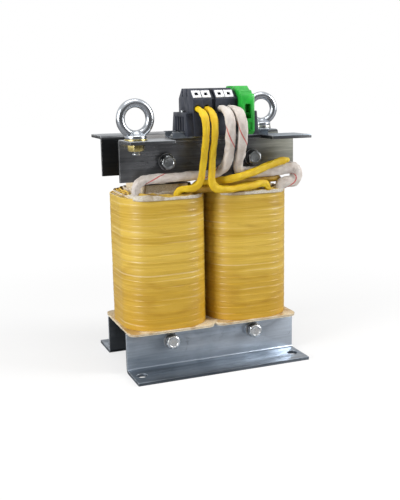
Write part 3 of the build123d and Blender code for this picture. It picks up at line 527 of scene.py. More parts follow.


# the last entry sets the half width of Y for the painted shade on the angles' inner faces
ROLLED = {"pull": (14.0, 360.0, 360.0), "grain": 0.75, "clouds": 16.0, "metallic": 0.85, "bump": 0.06,
          "inner": 0.0393}
WEB_TOP = 0.2790
FLANGE = 0.2826
FINISHES: dict[Look, Metal | Laminated | Plastic | Tape | Sheet | Sleeve | Wound] = {
    Look.FOOT_STEEL: Metal(
        (0.70, 0.78, 0.88), (0.24, 0.29, 0.35), (0.28, 0.48), rubbed=(0.86, 0.90, 0.94), rub=0.9,
        stain=(0.14, 0.17, 0.21),
        # painted shade: the foot flanges, below 6 mm, darkened to stand in for their dark reflection
        patches=(Patch("Z", 0.0060, 0.0035, (0.055, 0.068, 0.085), 0.95),), **ROLLED),
    Look.FRAME_STEEL: Metal(
        (0.23, 0.235, 0.245), (0.026, 0.028, 0.031), (0.24, 0.48), rubbed=(0.86, 0.88, 0.90), rub=1.0,
        stain=(0.02, 0.02, 0.02), patches=(
            # painted reflection of the white leads on the webs' right ends, and painted highlights on the
            # flanges' right and left ends
            Patch("X", 0.040, 0.095, (0.40, 0.40, 0.33), 0.85, high=WEB_TOP),
            Patch("X", 0.040, 0.080, (0.26, 0.33, 0.40), 0.60, low=FLANGE),
            Patch("X", -0.035, -0.070, (0.50, 0.53, 0.56), 0.60, low=FLANGE)), **ROLLED),
    Look.CORE_STEEL: Laminated(),
    Look.BOARD: Sheet((0.84, 0.76, 0.60), (0.58, 0.44, 0.24), (0.42, 0.23, 0.035), 0.85, 520.0),
    Look.PAPER: Sheet((0.80, 0.74, 0.64), (0.50, 0.42, 0.30), (0.36, 0.20, 0.04), 0.75, 420.0),
    Look.TAPE: Tape(),
    Look.TAPE_END: Sheet((0.90, 0.65, 0.13), (0.58, 0.37, 0.06), (0.20, 0.10, 0.012), 0.80, 300.0),
    Look.MARGIN: Sheet((0.80, 0.76, 0.68), (0.58, 0.51, 0.38), (0.34, 0.20, 0.04), 0.55, 380.0),
    Look.COPPER: Wound(),
    Look.ZINC: Metal(
        (0.46, 0.48, 0.48), (0.20, 0.21, 0.22), (0.22, 0.38), clouds=110.0, bump=0.02,
        rubbed=(0.90, 0.91, 0.92), rub=0.8, patches=(Patch("Z", 0.12, 0.08, (0.80, 0.82, 0.83), 0.95),)),
    Look.WASHER: Metal(
        (0.17, 0.175, 0.18), (0.06, 0.062, 0.065), (0.24, 0.40), (400.0, 400.0, 400.0), bump=0.02,
        rubbed=(0.60, 0.61, 0.62), rub=0.8, patches=(Patch("Z", 0.12, 0.08, (0.50, 0.52, 0.54), 0.95),)),
    Look.SPRING: Metal((0.12, 0.12, 0.12), (0.04, 0.04, 0.04), (0.25, 0.4), rubbed=(0.35, 0.35, 0.35),
                       rub=0.5),
    Look.EYE: Metal(
        (0.50, 0.53, 0.56), (0.36, 0.38, 0.41), (0.24, 0.32), (90.0, 90.0, 90.0), 0.15, 50.0, bump=0.0,
        rubbed=(0.75, 0.77, 0.79), rub=0.3),
    Look.PASSIVATED: Metal(
        (0.74, 0.62, 0.26), (0.42, 0.32, 0.10), (0.2, 0.4), clouds=160.0, rubbed=(0.85, 0.80, 0.60),
        stain=(0.45, 0.50, 0.20), patches=(Patch("X", 0.0, 0.02, (0.46, 0.49, 0.52), 1.0),)),
    Look.RAIL: Metal((0.34, 0.38, 0.43), (0.12, 0.14, 0.16), pull=(40.0, 900.0, 900.0), clouds=60.0),
    Look.GREY: Plastic((0.044, 0.049, 0.068), (0.026, 0.030, 0.042), 0.46, gloss=0.22),
    Look.MARKER: Plastic((0.86, 0.86, 0.88), (0.76, 0.77, 0.80), 0.4),
    Look.GREEN: Plastic((0.022, 0.46, 0.045), (0.012, 0.32, 0.03), 0.40),
    Look.YELLOW_SLEEVE: Sleeve((0.94, 0.66, 0.010), (0.78, 0.47, 0.004), 0.46, coat=0.06, bump=0.7),
    Look.OCHRE_SLEEVE: Sleeve((0.56, 0.34, 0.02), (0.36, 0.19, 0.006), 0.5, coat=0.05),
    Look.WHITE_SLEEVE: Sleeve((0.87, 0.81, 0.76), (0.66, 0.57, 0.50), 0.6, 22.0, 560.0, (0.62, 0.10, 0.09),
                              bump=0.9, sheen=0.1),
    Look.INSULATION: Plastic((0.84, 0.82, 0.78), (0.72, 0.70, 0.66), 0.5),
}


class Palette:
    """Makes each material once, on first use."""

    def __init__(self) -> None:
        """Start with the shared effects and no materials."""
        self.fx = Effects()
        self.made: dict[Look, bpy.types.Material] = {}

    def get(self, look: Look) -> bpy.types.Material:
        """Return the one material of a finish.

        Args:
            look: which finish.

        Returns:
            Its material, made now if it is new.
        """
        if look not in self.made:
            material = bpy.data.materials.new(look.value)
            g = Graph.blank(material)
            shader = g.add("BsdfPrincipled", FINISHES[look].build(g, self.fx))
            g.add("OutputMaterial", {"Surface": shader.outputs[0]})
            self.made[look] = material
        return self.made[look]


# ---------------- mesh making
def wave(x: float, y: float, z: float) -> float:
    """Return smooth noise, about -1 to 1, at a place."""
    return noise.noise(Vector((x, y, z)))


def placed(name: str, data: bpy.types.ID) -> bpy.types.Object:
    """Return a new object on data, linked to the scene."""
    obj = bpy.data.objects.new(name, data)
    bpy.context.scene.collection.objects.link(obj)
    return obj


def meshed(name: str, bm: Mesh) -> bpy.types.Object:
    """Return a new object with a bmesh's faces, and free the bmesh."""
    mesh = bpy.data.meshes.new(name)
    bm.to_mesh(mesh)
    bm.free()
    return placed(name, mesh)


def new_ring(bm: Mesh, count: int, radius: float = 0.05, filled: bool = False) -> list[Vert]:
    """Add a circle of vertices, in metres, which the caller moves to their places."""
    return list(bmesh.ops.create_circle(bm, cap_ends=filled, segments=count, radius=radius)["verts"])


def edges_of(ring: Sequence[Vert]) -> list[Edge]:
    """Return the edges that meet a ring, in an order that is the same each run."""
    return list(dict.fromkeys(edge for vert in ring for edge in vert.link_edges))


def faces_of(verts: Sequence[Vert]) -> list[bmesh.types.BMFace]:
    """Return the faces that meet some vertices, in an order that is the same each run."""
    return list(dict.fromkeys(face for vert in verts for face in vert.link_faces))


def verts_in(geom: Sequence[object]) -> list[Vert]:
    """Return the vertices among mixed elements."""
    return [each for each in geom if isinstance(each, Vert)]


def grow(bm: Mesh, edges: Sequence[Edge]) -> tuple[list[Vert], list[Edge]]:
    """Extrude a ring of edges in place.

    Args:
        bm: the mesh.
        edges: the ring's edges.

    Returns:
        The new ring's vertices and edges.
    """
    made = bmesh.ops.extrude_edge_only(bm, edges=edges)["geom"]
    return verts_in(made), [each for each in made if isinstance(each, Edge)]


def unwrap(bm: Mesh, name: str, around: Layer, along: Layer, slant: float = 0.0, phase: float = 0.0) -> None:
    """Write turn and distance to a UV map, with a clean seam.

    Args:
        bm: the mesh, closed round.
        name: the UV map's name.
        around: vertex layer that holds the share of a turn.
        along: vertex layer that holds the distance, in metres.
        slant: how far the lines lean as they go round, in metres.
        phase: where they lean, in radians.
    """
    uv = bm.loops.layers.uv.new(name)
    for face in bm.faces:
        turns = [loop.vert[around] for loop in face.loops]
        seam = max(turns) - min(turns) > 0.5
        for loop, turn in zip(face.loops, turns):
            turn += 1.0 if seam and turn < 0.5 else 0.0
            loop[uv].uv = (turn, loop.vert[along] + slant * math.sin(turn * TURN + phase))


def break_edges(bm: Mesh, width: float, angle: float, segments: int = 2) -> None:
    """Bevel the sharp edges and write a mask of 1 on the new faces, for wear and painted edge highlights.

    Args:
        bm: the mesh to change.
        width: bevel width in millimetres.
        angle: edges that turn by more than this many degrees are bevelled.
        segments: steps across each bevel.
    """
    wear = bm.faces.layers.float.get("wear") or bm.faces.layers.float.new("wear")
    limit = math.radians(angle)
    edges = [e for e in bm.edges if len(e.link_faces) == 2 and e.calc_face_angle(0.0) > limit]
    made = bmesh.ops.bevel(bm, geom=edges, offset=width * MM, offset_type="OFFSET", segments=segments,
                           affect="EDGES", profile=0.5, material=-1, clamp_overlap=True)
    for face in made["faces"]:
        face[wear] = 1.0


def lathe(bm: Mesh, profile: Sequence[tuple[float, float]], place: Matrix, steps: int,
          turn: float = 360.0) -> None:
    """Spin a profile round Z and set it in place.

    Args:
        bm: mesh to add to.
        profile: (radius, height) pairs in millimetres, from one end of the axis to the other.
        place: where the axis goes, in metres.
        steps: steps in the whole turn.
        turn: degrees to spin through.
    """
    before = set(bm.verts)
    points = [bm.verts.new((r * MM, 0.0, z * MM)) for r, z in profile]
    edges = [bm.edges.new(pair) for pair in zip(points, points[1:])]
    bmesh.ops.spin(bm, geom=points + edges, cent=(0, 0, 0), axis=(0, 0, 1), angle=math.radians(turn),
                   steps=steps, use_merge=turn >= 360.0, use_duplicate=False)
    bmesh.ops.remove_doubles(bm, verts=[v for v in bm.verts if v not in before], dist=1e-7)
    new = [v for v in bm.verts if v not in before]
    bmesh.ops.recalc_face_normals(bm, faces=faces_of(new))
    bmesh.ops.transform(bm, matrix=place, verts=new)


def thread(start: float, end: float, pitch: float, fall: float, root: float,
           crest: float = 4.95) -> list[tuple[float, float]]:
    """Return the zigzag profile of a screw thread, as (radius, height) pairs.

    Args:
        start: height of the first crest.
        end: no crest starts above this.
        pitch: distance from crest to crest.
        fall: distance from a crest to the next root.
        root: radius inside.
        crest: radius outside.

    Returns:
        The profile's points.
    """
    count = math.ceil((end - start) / pitch)
    return [point for k in range(count) for point in
            ((crest, start + k * pitch), (root, start + k * pitch + fall))]


def outline_point(turn: float, width: float, depth: float, corner: float,
                  out: float = 0.0) -> tuple[float, float]:
    """Find a point of a rounded rectangle by its share of the way round.

    Args:
        turn: 0 to 1 round the outline, from the middle of the right side, counter-clockwise.
        width: size along X.
        depth: size along Y.
        corner: corner radius.
        out: how far outside that rectangle the outline runs.

    Returns:
        The point's x and y.
    """
    a, b = width / 2 - corner, depth / 2 - corner
    corner += out
    arc = math.pi / 2 * corner
    whole = 4 * (a + b + arc)
    left = ((turn % 1.0) * whole + b) % whole
    for k, (run, x, y) in enumerate(((2 * b, a, b), (2 * a, -a, b), (2 * b, -a, -b), (2 * a, a, -b))):
        if left <= run + arc or k == 3:
            break
        left -= run + arc
    angle = k * math.pi / 2
    short, bent = min(0.0, left - run), angle + max(0.0, left - run) / corner
    return (x + corner * math.cos(bent) - short * math.sin(angle),
            y + corner * math.sin(bent) + short * math.cos(angle))


class Shop:
    """Turns bmeshes into finished pieces that ride on the body."""

    MERGE = 2e-6
    FLAT_DEGREES = 0.6
    BROKEN_DEGREES = 32.0

    def __init__(self, palette: Palette, nodes: dict[str, bpy.types.Object]) -> None:
        """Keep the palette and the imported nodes."""
        self.palette = palette
        self.nodes = nodes

    def piece(self, name: str, bm: Mesh, look: Look, slot: str = "", sharp: float = 35.0,
              replaces: Sequence[str] = (), also: Sequence[Look] = ()) -> bpy.types.Object:
        """Finish a bmesh as a piece of the object.

        Args:
            name: the piece's name.
            bm: its mesh, in the object's frame; it is freed here.
            look: its finish.
            slot: not used.
            sharp: edges that turn by more than this many degrees stay sharp.
            replaces: CAD nodes that this piece stands for.
            also: further finishes, for faces with material index 1 and on.

        Returns:
            The new object.
        """
        obj = meshed(name, bm)
        for polygon in obj.data.polygons:
            polygon.use_smooth = True
        obj.data.set_sharp_from_angle(angle=math.radians(sharp))
        for each in (look, *also):
            obj.data.materials.append(self.palette.get(each))
        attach(obj, "root")
        if replaces:
            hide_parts(*replaces)
        LOG.info("piece %s: %d faces", name, len(obj.data.polygons))
        return obj

    def dress(self, node: str, look: Look) -> None:
        """Give a CAD node that stays its detailed material."""
        for entry in self.nodes[node].material_slots:
            entry.material = self.palette.get(look)
        LOG.info("node %s: %s", node, look.value)

    def refine(self, nodes: Sequence[str], look: Look, bevel: float, slot: str = "") -> None:
        """Replace CAD nodes by merged copies with their edges broken and marked for wear and painted edge
        highlights.

        Args:
            nodes: the CAD nodes to copy.
            look: the copies' finish.
            bevel: width of the broken edges, in millimetres.
            slot: the record's material slot, if not the finish's own.
        """
        for node in nodes:
            bm = bmesh.new()
            bm.from_mesh(self.nodes[node].data)
            bmesh.ops.remove_doubles(bm, verts=bm.verts, dist=self.MERGE)
            bmesh.ops.dissolve_limit(bm, angle_limit=math.radians(self.FLAT_DEGREES), verts=bm.verts,
                                     edges=bm.edges)
            break_edges(bm, bevel, self.BROKEN_DEGREES)
            self.piece(node + "_finished", bm, look, slot, 30.0, (node,))


# ---------------- leads
@dataclass(frozen=True)
class Route:
    """One sleeved lead: control points and diameter in metres, and how its sleeve is shaped.

    girth holds pairs of a share of the length and a factor on the diameter there; crumple and flat
    say how deep the sleeve is creased and how much wider than high it lies.
    """

    name: str
    points: Sequence[tuple[float, float, float]]
    diameter: float
    look: Look
    far_end: str = "object"
    girth: Sequence[tuple[float, float]] = ((0.0, 1.0), (1.0, 1.0))
    crumple: float = 0.10
    flat: float = 0.14
    seed: float = 0.0


def route(points: Sequence[tuple[float, float, float]]) -> list[tuple[float, ...]]:
    """Return points given in millimetres as metres."""
    return [tuple(c * MM for c in p) for p in points]


def length_of(line: Sequence[Vector]) -> float:
    """Return the length of a line of points."""
    return sum((b - a).length for a, b in zip(line, line[1:]))


LEADS = [
    Route("lead_yellow_a_sleeve", route([
        (-26.2, -62.8, 316.0), (-26.2, -79.0, 316.0), (-24.6, -87.0, 309.5), (-22.3, -88.0, 298.0),
        (-21.0, -82.0, 280.0), (-19.3, -71.0, 262.0), (-18.6, -64.0, 244.0), (-20.0, -61.0, 232.0),
        (-25.5, -58.6, 223.8), (-35.0, -55.6, 223.2), (-43.0, -52.4, 222.8), (-46.5, -49.2, 216.5),
        (-46.3, -48.6, 213.3)]),
        0.0084, Look.YELLOW_SLEEVE, seed=1.3,
        girth=((0, 0.80), (0.12, 0.82), (0.2, 0.94), (0.7, 0.92), (0.8, 1.02), (1, 0.98))),
    Route("lead_yellow_b_sleeve", route([
        (-14.7, -62.8, 316.0), (-14.7, -79.0, 316.0), (-13.6, -87.5, 309.0), (-12.2, -89.0, 297.0),
        (-10.8, -82.5, 280.0), (-8.8, -71.0, 262.0), (-7.2, -64.5, 244.0), (-7.4, -63.2, 232.0),
        (-3.6, -62.6, 223.0), (6.0, -61.8, 220.4), (24.0, -59.2, 220.0), (48.0, -56.6, 221.6),
        (62.0, -55.4, 225.0), (72.0, -52.4, 221.8), (73.7, -49.0, 213.3)]),
        0.0084, Look.YELLOW_SLEEVE, seed=4.1,
        girth=((0, 0.80), (0.1, 0.82), (0.16, 0.95), (0.42, 0.93), (0.56, 1.02), (1, 0.98))),
    Route("lead_yellow_c_sleeve", route([
        (-20.8, -32.2, 213.3), (-20.0, -33.0, 219.5), (-14.5, -36.0, 227.0), (-4.0, -42.2, 228.4),
        (7.0, -51.0, 230.0), (19.0, -60.4, 232.0), (34.0, -62.8, 235.4), (54.0, -60.6, 241.0),
        (74.0, -59.4, 247.0), (87.0, -58.0, 250.4), (97.0, -55.5, 250.6)]),
        0.0084, Look.YELLOW_SLEEVE, "fitting", seed=7.7,
        girth=((0, 1.0), (0.5, 1.08), (0.85, 1.15), (0.96, 1.0), (1, 0.75))),
    Route("lead_yellow_d_sleeve", route([
        (-34.7, -45.5, 213.3), (-30.0, -45.3, 218.8), (-20.0, -44.6, 219.4), (0.0, -42.6, 219.6),
        (14.0, -43.4, 222.0), (28.0, -45.2, 225.6), (44.0, -45.2, 227.4), (60.0, -44.9, 227.8),
        (82.5, -44.9, 228.0), (91.0, -41.6, 228.0), (97.5, -33.0, 223.0), (97.8, -29.8, 213.3)]),
        0.0080, Look.OCHRE_SLEEVE, seed=9.2),
    Route("lead_white_a_sleeve", route([
        (2.3, -72.1, 316.0), (2.3, -82.5, 316.0), (3.6, -90.5, 311.0), (5.8, -93.5, 299.5),
        (8.0, -86.5, 281.0), (11.5, -73.5, 263.0), (12.5, -61.0, 248.0), (5.0, -53.4, 239.2),
        (-14.0, -50.0, 237.2), (-42.0, -48.8, 237.4), (-68.0, -48.8, 236.0), (-84.0, -49.6, 236.6),
        (-92.0, -49.4, 233.2), (-95.2, -46.2, 226.4), (-93.6, -41.6, 218.0), (-92.9, -40.6, 214.2)]),
        0.011, Look.WHITE_SLEEVE, crumple=0.125, flat=0.15, seed=2.2,
        girth=((0, 0.70), (0.05, 0.76), (0.11, 1.06), (0.4, 1.08), (0.9, 1.1), (1, 1.0))),
    Route("lead_white_b_sleeve", route([
        (13.8, -72.1, 316.0), (13.8, -83.0, 316.0), (17.2, -92.0, 311.0), (19.6, -95.3, 299.5),
        (22.4, -88.0, 280.5), (26.2, -74.0, 262.5), (28.0, -61.0, 250.0), (33.0, -52.0, 240.2),
        (48.0, -48.8, 237.4), (70.0, -48.6, 237.2), (86.0, -49.2, 238.2), (98.0, -49.4, 240.0),
        (109.2, -49.6, 240.8), (114.6, -49.2, 232.0), (109.2, -49.2, 223.4), (99.0, -49.2, 223.2),
        (90.5, -48.4, 219.6), (89.1, -47.6, 214.2)]),
        0.011, Look.WHITE_SLEEVE, crumple=0.095, flat=0.12, seed=5.9,
        girth=((0, 0.70), (0.05, 0.76), (0.11, 1.06), (0.4, 1.08), (0.66, 1.12), (0.78, 1.24), (0.92, 1.22),
               (1, 1.0))),
]


@dataclass
class Leads:
    """The sleeved leads, each a crumpled tube along its own smooth line."""

    shop: Shop
    sides: int = 40
    step: float = 0.0011
    reach: int = 4
    # Changes to each metre along a sleeve: folds, creases, slow swelling, and the ridge's turn in radians.
    folds: float = 95.0
    creases: float = 260.0
    swells: float = 42.0
    ridge_turn: float = 9.0
    ridge_wide: float = 0.45
    cap_over: float = 2.4
    cap_loose: float = 0.35
    cap_shape: tuple[tuple[float, float], ...] = (
        (0, -0.6), (0.9, -0.6), (1.0, 0.0), (1.0, 1.8), (0.93, 3.2), (0.72, 4.3), (0.4, 4.9), (0, 5.1))

    def line(self, lead: Route) -> list[Vector]:
        """Return even points along the route's spline.

        Args:
            lead: the lead whose control points are used.

        Returns:
            Points in metres, about one step apart.
        """
        curve = bpy.data.curves.new(lead.name + "_line", "CURVE")
        curve.dimensions = "3D"
        spline = curve.splines.new("NURBS")
        spline.points.add(len(lead.points) - 1)
        for point, at in zip(spline.points, lead.points):
            point.co = (*at, 1.0)
        spline.order_u = 3
        spline.use_endpoint_u = True
        spline.resolution_u = 40
        holder = placed(lead.name + "_line", curve)
        mesh = bpy.data.meshes.new_from_object(holder)
        raw = [v.co.copy() for v in mesh.vertices]
        bpy.data.meshes.remove(mesh)
        bpy.data.objects.remove(holder)
        bpy.data.curves.remove(curve)
        far = [0.0]
        for a, b in zip(raw, raw[1:]):
            far.append(far[-1] + (b - a).length)
        count = max(8, round(far[-1] / self.step))
        even, k = [], 0
        for i in range(count + 1):
            want = far[-1] * i / count
            while k < len(far) - 2 and far[k + 1] < want:
                k += 1
            span = far[k + 1] - far[k] or 1e-9
            even.append(raw[k].lerp(raw[k + 1], min(1.0, (want - far[k]) / span)))
        return even

    @staticmethod
    def girth(lead: Route, share: float) -> float:
        """Return the sleeve's girth factor at a share of its length."""
        for (s0, g0), (s1, g1) in zip(lead.girth, lead.girth[1:]):
            if share <= s1:
                t = (share - s0) / (s1 - s0)
                return g0 + (g1 - g0) * t * t * (3 - 2 * t)
        return lead.girth[-1][1]

    def creased(self, lead: Route, turn: float, far: float, bend: float) -> tuple[float, float]:
        """Return how the sleeve is shaped at one place.

        Args:
            lead: the lead.
            turn: angle round the sleeve, in radians.
            far: distance along it, in metres.
            bend: how much it turns there.

        Returns:
            The factor on its radius, and how much wider and less high it lies.
        """
        x, y = math.cos(turn), math.sin(turn)
        fold = wave(x * 1.4 + lead.seed, y * 1.4, far * self.folds)
        crease = abs(wave(x * 2.3, y * 2.3 + lead.seed, far * self.creases)) - 0.18
        slow = wave(lead.seed * 3.1, 0.3, far * self.swells)
        ridge = (turn - lead.seed - self.ridge_turn * far - 2.2 * slow + math.pi) % TURN - math.pi
        pinch = lead.crumple * (0.9 + 1.2 * slow) * math.exp(-(ridge / self.ridge_wide) ** 2)
        creases = lead.crumple * (1.6 * fold + 0.9 * crease * (0.4 + 2.2 * bend))
        return 1 + creases + 0.05 * slow - pinch, lead.flat * (0.5 + 0.5 * slow + 0.6 * bend)

    def tube(self, lead: Route, line: Sequence[Vector]) -> Mesh:
        """Extrude a ring along the line and crumple it.

        Args:
            lead: the lead to build.
            line: its even centre points.

        Returns:
            The tube, closed at both ends, with a UV map of turn and distance.
        """
        bm = bmesh.new()
        around = bm.verts.layers.float.new("around")
        along = bm.verts.layers.float.new("along")
        first = ring = new_ring(bm, self.sides, lead.diameter / 2)
        for v in ring:
            v[around] = (math.atan2(v.co.y, v.co.x) / TURN) % 1.0
        edges = edges_of(ring)
        last = len(line) - 1
        tangents = [(line[min(i + 1, last)] - line[max(i - 1, 0)]).normalized() for i in range(last + 1)]
        side, length, far = Vector((1, 0, 0)), length_of(line), 0.0
        for i, (at, tangent) in enumerate(zip(line, tangents)):
            if i:
                far += (at - line[i - 1]).length
                ring, edges = grow(bm, edges)
            side = (side - tangent * side.dot(tangent)).normalized()
            up = tangent.cross(side)
            base = lead.diameter / 2 * self.girth(lead, far / length)
            bend = 0.0
            if self.reach < i < last - self.reach:
                bend = (tangents[i + self.reach] - tangents[i - self.reach]).length
            for v in ring:
                turn = v[around] * TURN
                v[along] = far
                swell, squash = self.creased(lead, turn, far, bend)
                wide, high = (1 + squash) * math.cos(turn), (1 - squash) * math.sin(turn)
                v.co = at + base * swell * (wide * side + high * up)
        bmesh.ops.contextual_create(bm, geom=edges)
        bmesh.ops.contextual_create(bm, geom=[e for e in edges_of(first) if e.is_boundary])
        unwrap(bm, "sleeve", around, along)
        bmesh.ops.recalc_face_normals(bm, faces=bm.faces)
        return bm

    def cap(self, lead: Route, line: Sequence[Vector]) -> bpy.types.Object:
        """Build the soft closed cap on a sleeve that ends in the open.

        Args:
            lead: the lead that ends there.
            line: its even centre points.

        Returns:
            The cap.
        """
        way = (line[-1] - line[-4]).normalized()
        start = Matrix.Translation(line[-1] - way * self.cap_over * MM)
        place = start @ way.to_track_quat("Z", "Y").to_matrix().to_4x4()
        wide = lead.diameter / 2 / MM * lead.girth[-1][1] + self.cap_loose
        bm = bmesh.new()
        lathe(bm, [(share * wide, z) for share, z in self.cap_shape], place, self.sides)
        around = bm.verts.layers.float.new("around")
        along = bm.verts.layers.float.new("along")
        back = place.inverted()
        for v in bm.verts:
            at = back @ v.co
            v[around] = (math.atan2(at.y, at.x) / TURN) % 1.0
            v[along] = at.z + at.xy.length
        unwrap(bm, "sleeve", around, along)
        return self.shop.piece(lead.name.replace("_sleeve", "_cap"), bm, lead.look, "yellow_sleeve", 60.0)

    def build(self) -> None:
        """Build every lead."""
        for lead in LEADS:
            line = self.line(lead)
            slot = "yellow_sleeve" if "yellow" in lead.name else "white_sleeve"
            node = lead.name.replace("_sleeve", "")
            obj = self.shop.piece(lead.name, self.tube(lead, line), lead.look, slot, 60.0, (node,))
            caps = [self.cap(lead, line)] if lead.far_end == "fitting" else []
            LOG.info("%s is %.1f mm long", lead.name, length_of(line) / MM)


# ---------------- coils
@dataclass(frozen=True)
class Coil:
    """One coil: its side, its limb's place along X, and the seed of its unevenness."""

    side: str
    x: float
    seed: float


@dataclass(frozen=True)
class Paper:
    """One insulating paper round a coil's top: its place outside the limb and its height."""

    name: str
    look: Look
    out: float
    rise: float


@dataclass(frozen=True)
class Stand:
    """A place where the papers stand up further, growing along X and Y, with a height for each paper."""

    x: tuple[float, float]
    y: tuple[float, float]
    heights: tuple[float, ...]

    def share(self, px: float, py: float) -> float:
        """Return 0 to 1: how far into this place a point of the outline lies."""
        shares = [(value - start) / (end - start) for value, (start, end) in ((px, self.x), (py, self.y))]
        return math.prod(max(0.0, min(1.0, share)) for share in shares)


COILS = (Coil("left", -LIMB, 0.7), Coil("right", LIMB, 3.9))
PAPERS = (Paper("paper", Look.PAPER, 3.5, 9.0), Paper("layer", Look.TAPE_END, 9.0, 6.0),
          Paper("wrapper", Look.TAPE_END, 12.6, 4.5), Paper("margin", Look.MARGIN, 16.2, 3.4))
STANDS = {
    "left": (Stand((-8.0, -22.0), (-20.0, -38.0), (0.0, 2.2, 3.6, 3.0)),
             Stand((4.0, 16.0), (5.0, 17.0), (11.0, 6.0, 2.0, 0.0)),
             Stand((30.0, 35.0), (-22.0, -12.0), (0.0, 3.0, 9.0, 0.0))),
    "right": (Stand((4.0, 16.0), (5.0, 17.0), (9.0, 4.0, 0.0, 0.0)),),
}


@dataclass
class Coils:
    """The two taped coils, their end faces, boards, and the papers that stand out at the top."""

    shop: Shop
    width: float = 108.0
    depth: float = 112.0
    corner: float = 40.0
    bottom: float = 53.0
    top: float = 214.0
    wall: float = 1.8
    bands: int = 21
    uneven: float = 0.32
    slant: float = 1.1
    edge: float = 0.3
    # Bands near the ends stay level; the others sway round the coil. All of them ripple, puff and sink.
    level: tuple[float, float] = (4.0, 3.0)
    sway: tuple[float, float] = (0.8, 0.7)
    ripple: float = 0.16
    puff: float = 0.25
    sink: float = 0.28
    # Share of a band's height, distance outside the coil, and lap mask, which places the tape's painted shade
    # and painted glints, from one lap to the next.
    shingle: tuple[tuple[float, float, float], ...] = (
        (0.02, -0.19, 1.0), (0.12, -0.1862, 0.6), (0.3, -0.152, 0.1), (0.5, -0.095, 0.0),
        (0.72, -0.0418, 0.0), (0.9, -0.03, 0.0), (0.965, -0.01, 0.25), (0.995, -0.10, 0.7))
    # Bottom and top of each sheet above the board's bottom, and how much wider than the board it is.
    sheets: tuple[tuple[float, float, float], ...] = ((0.0, 1.1, 0.0), (1.2, 1.9, -0.7), (2.0, 2.95, 0.3))
    board_corner: float = 11.0
    ragged: float = 0.35
    limb: tuple[float, float, float] = (55.0, 81.0, 4.0)
    paper_steps: int = 5
    paper_thick: float = 0.6
    paper_sunk: float = 2.5
    crinkle: float = 0.9
    lean: float = 0.5
    tape_round: int = 220
    board_round: int = 180
    paper_round: int = 200

    def profile(self, seed: float) -> list[tuple[float, float, float]]:
        """Return the tape's profile, from the bottom edge up to the rim.

        Args:
            seed: sets how uneven the bands' heights are.

        Returns:
            Rows of distance outside the coil, height and lap mask.
        """
        pitch = (self.top - self.bottom) / self.bands
        levels = [self.bottom + pitch * (k + (self.uneven * wave(k * 1.7, seed, 0.0) if k else 0.0))
                  for k in range(self.bands)] + [self.top]
        rows = [(-self.wall, self.bottom + 0.2, 0.0)]
        rows += [(out, z0 + t * (z1 - z0), lap) for z0, z1 in zip(levels, levels[1:])
                 for t, out, lap in self.shingle]
        return rows + [(-0.35, self.top, 0.2), (0.4 - self.wall, self.top + 0.05, 0.0),
                       (-self.wall, self.top - 0.4, 0.0), (-self.wall, self.top - 2.4, 0.3)]

    def wrap(self, coil: Coil) -> None:
        """Build the tape round one coil: bands that lap like shingles, wavy and slightly askew."""
        bm = bmesh.new()
        mask, share, high = (bm.verts.layers.float.new(name) for name in ("lap", "share", "high"))
        ring = new_ring(bm, self.tape_round)
        for k, v in enumerate(ring):
            v[share] = k / self.tape_round
        edges = first = edges_of(ring)
        for row, (out, z, lap) in enumerate(self.profile(coil.seed)):
            if row:
                ring, edges = grow(bm, edges)
            for v in ring:
                turn = v[share] * TURN
                px, py = outline_point(v[share], self.width, self.depth, self.corner, out)
                sway, push = 0.0, Vector((0, 0, 0))
                if self.bottom + self.level[0] < z < self.top - self.level[1]:
                    askew = wave(math.cos(turn) * 1.7, math.sin(turn) * 1.7, z * 0.11 + coil.seed)
                    sway = self.sway[0] * math.sin(turn + coil.seed) + self.sway[1] * askew
                if out > -self.wall / 2:
                    far = self.ripple * wave(px * 0.045 + coil.seed, py * 0.045, z * 0.33)
                    far += self.puff * wave(px * 0.02, py * 0.02 + coil.seed, z * 0.05)
                    push = Vector((px, py, 0)).normalized() * (far - self.sink)
                v.co = (Vector((coil.x + px, py, z + sway)) + push) * MM
                v[mask], v[high] = lap, z * MM
        bmesh.ops.bridge_loops(bm, edges=first + edges)
        unwrap(bm, "wrap", share, high, self.slant * MM, coil.seed)
        bmesh.ops.recalc_face_normals(bm, faces=bm.faces)
        self.shop.piece(f"coil_tape_{coil.side}", bm, Look.TAPE, sharp=70.0,
                        replaces=(f"coil_wrap_{coil.side}",))

    def board(self, coil: Coil) -> None:
        """Build the board under one coil as separate uneven sheets with soft corners."""
        node = f"coil_board_{coil.side}"
        low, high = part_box(node)
        middle, size = (low + high) / 2, (high - low) / MM
        bm = bmesh.new()
        wear = bm.faces.layers.float.new("wear")
        for k, (z0, z1, wider) in enumerate(self.sheets):
            ring = new_ring(bm, self.board_round, filled=True)
            for i, v in enumerate(ring):
                px, py = outline_point(i / self.board_round, size.x, size.y, self.board_corner - wider, wider)
                ragged = self.ragged * wave(px * 0.09, py * 0.09, k * 7 + coil.seed)
                v.co = (middle.x + (px + ragged) * MM, middle.y + (py + ragged) * MM, low.z + z0 * MM)
            grown = bmesh.ops.extrude_face_region(bm, geom=[ring[0].link_faces[0]])["geom"]
            bmesh.ops.translate(bm, vec=(0, 0, (z1 - z0) * MM), verts=verts_in(grown))
        # side faces take the mask for wear and painted edge highlights
        for face in bm.faces:
            face[wear] = 1.0 if abs(face.normal.z) < 0.5 else 0.0
        bmesh.ops.recalc_face_normals(bm, faces=bm.faces)
        self.shop.piece(node + "_sheets", bm, Look.BOARD, sharp=40.0, replaces=(node,))

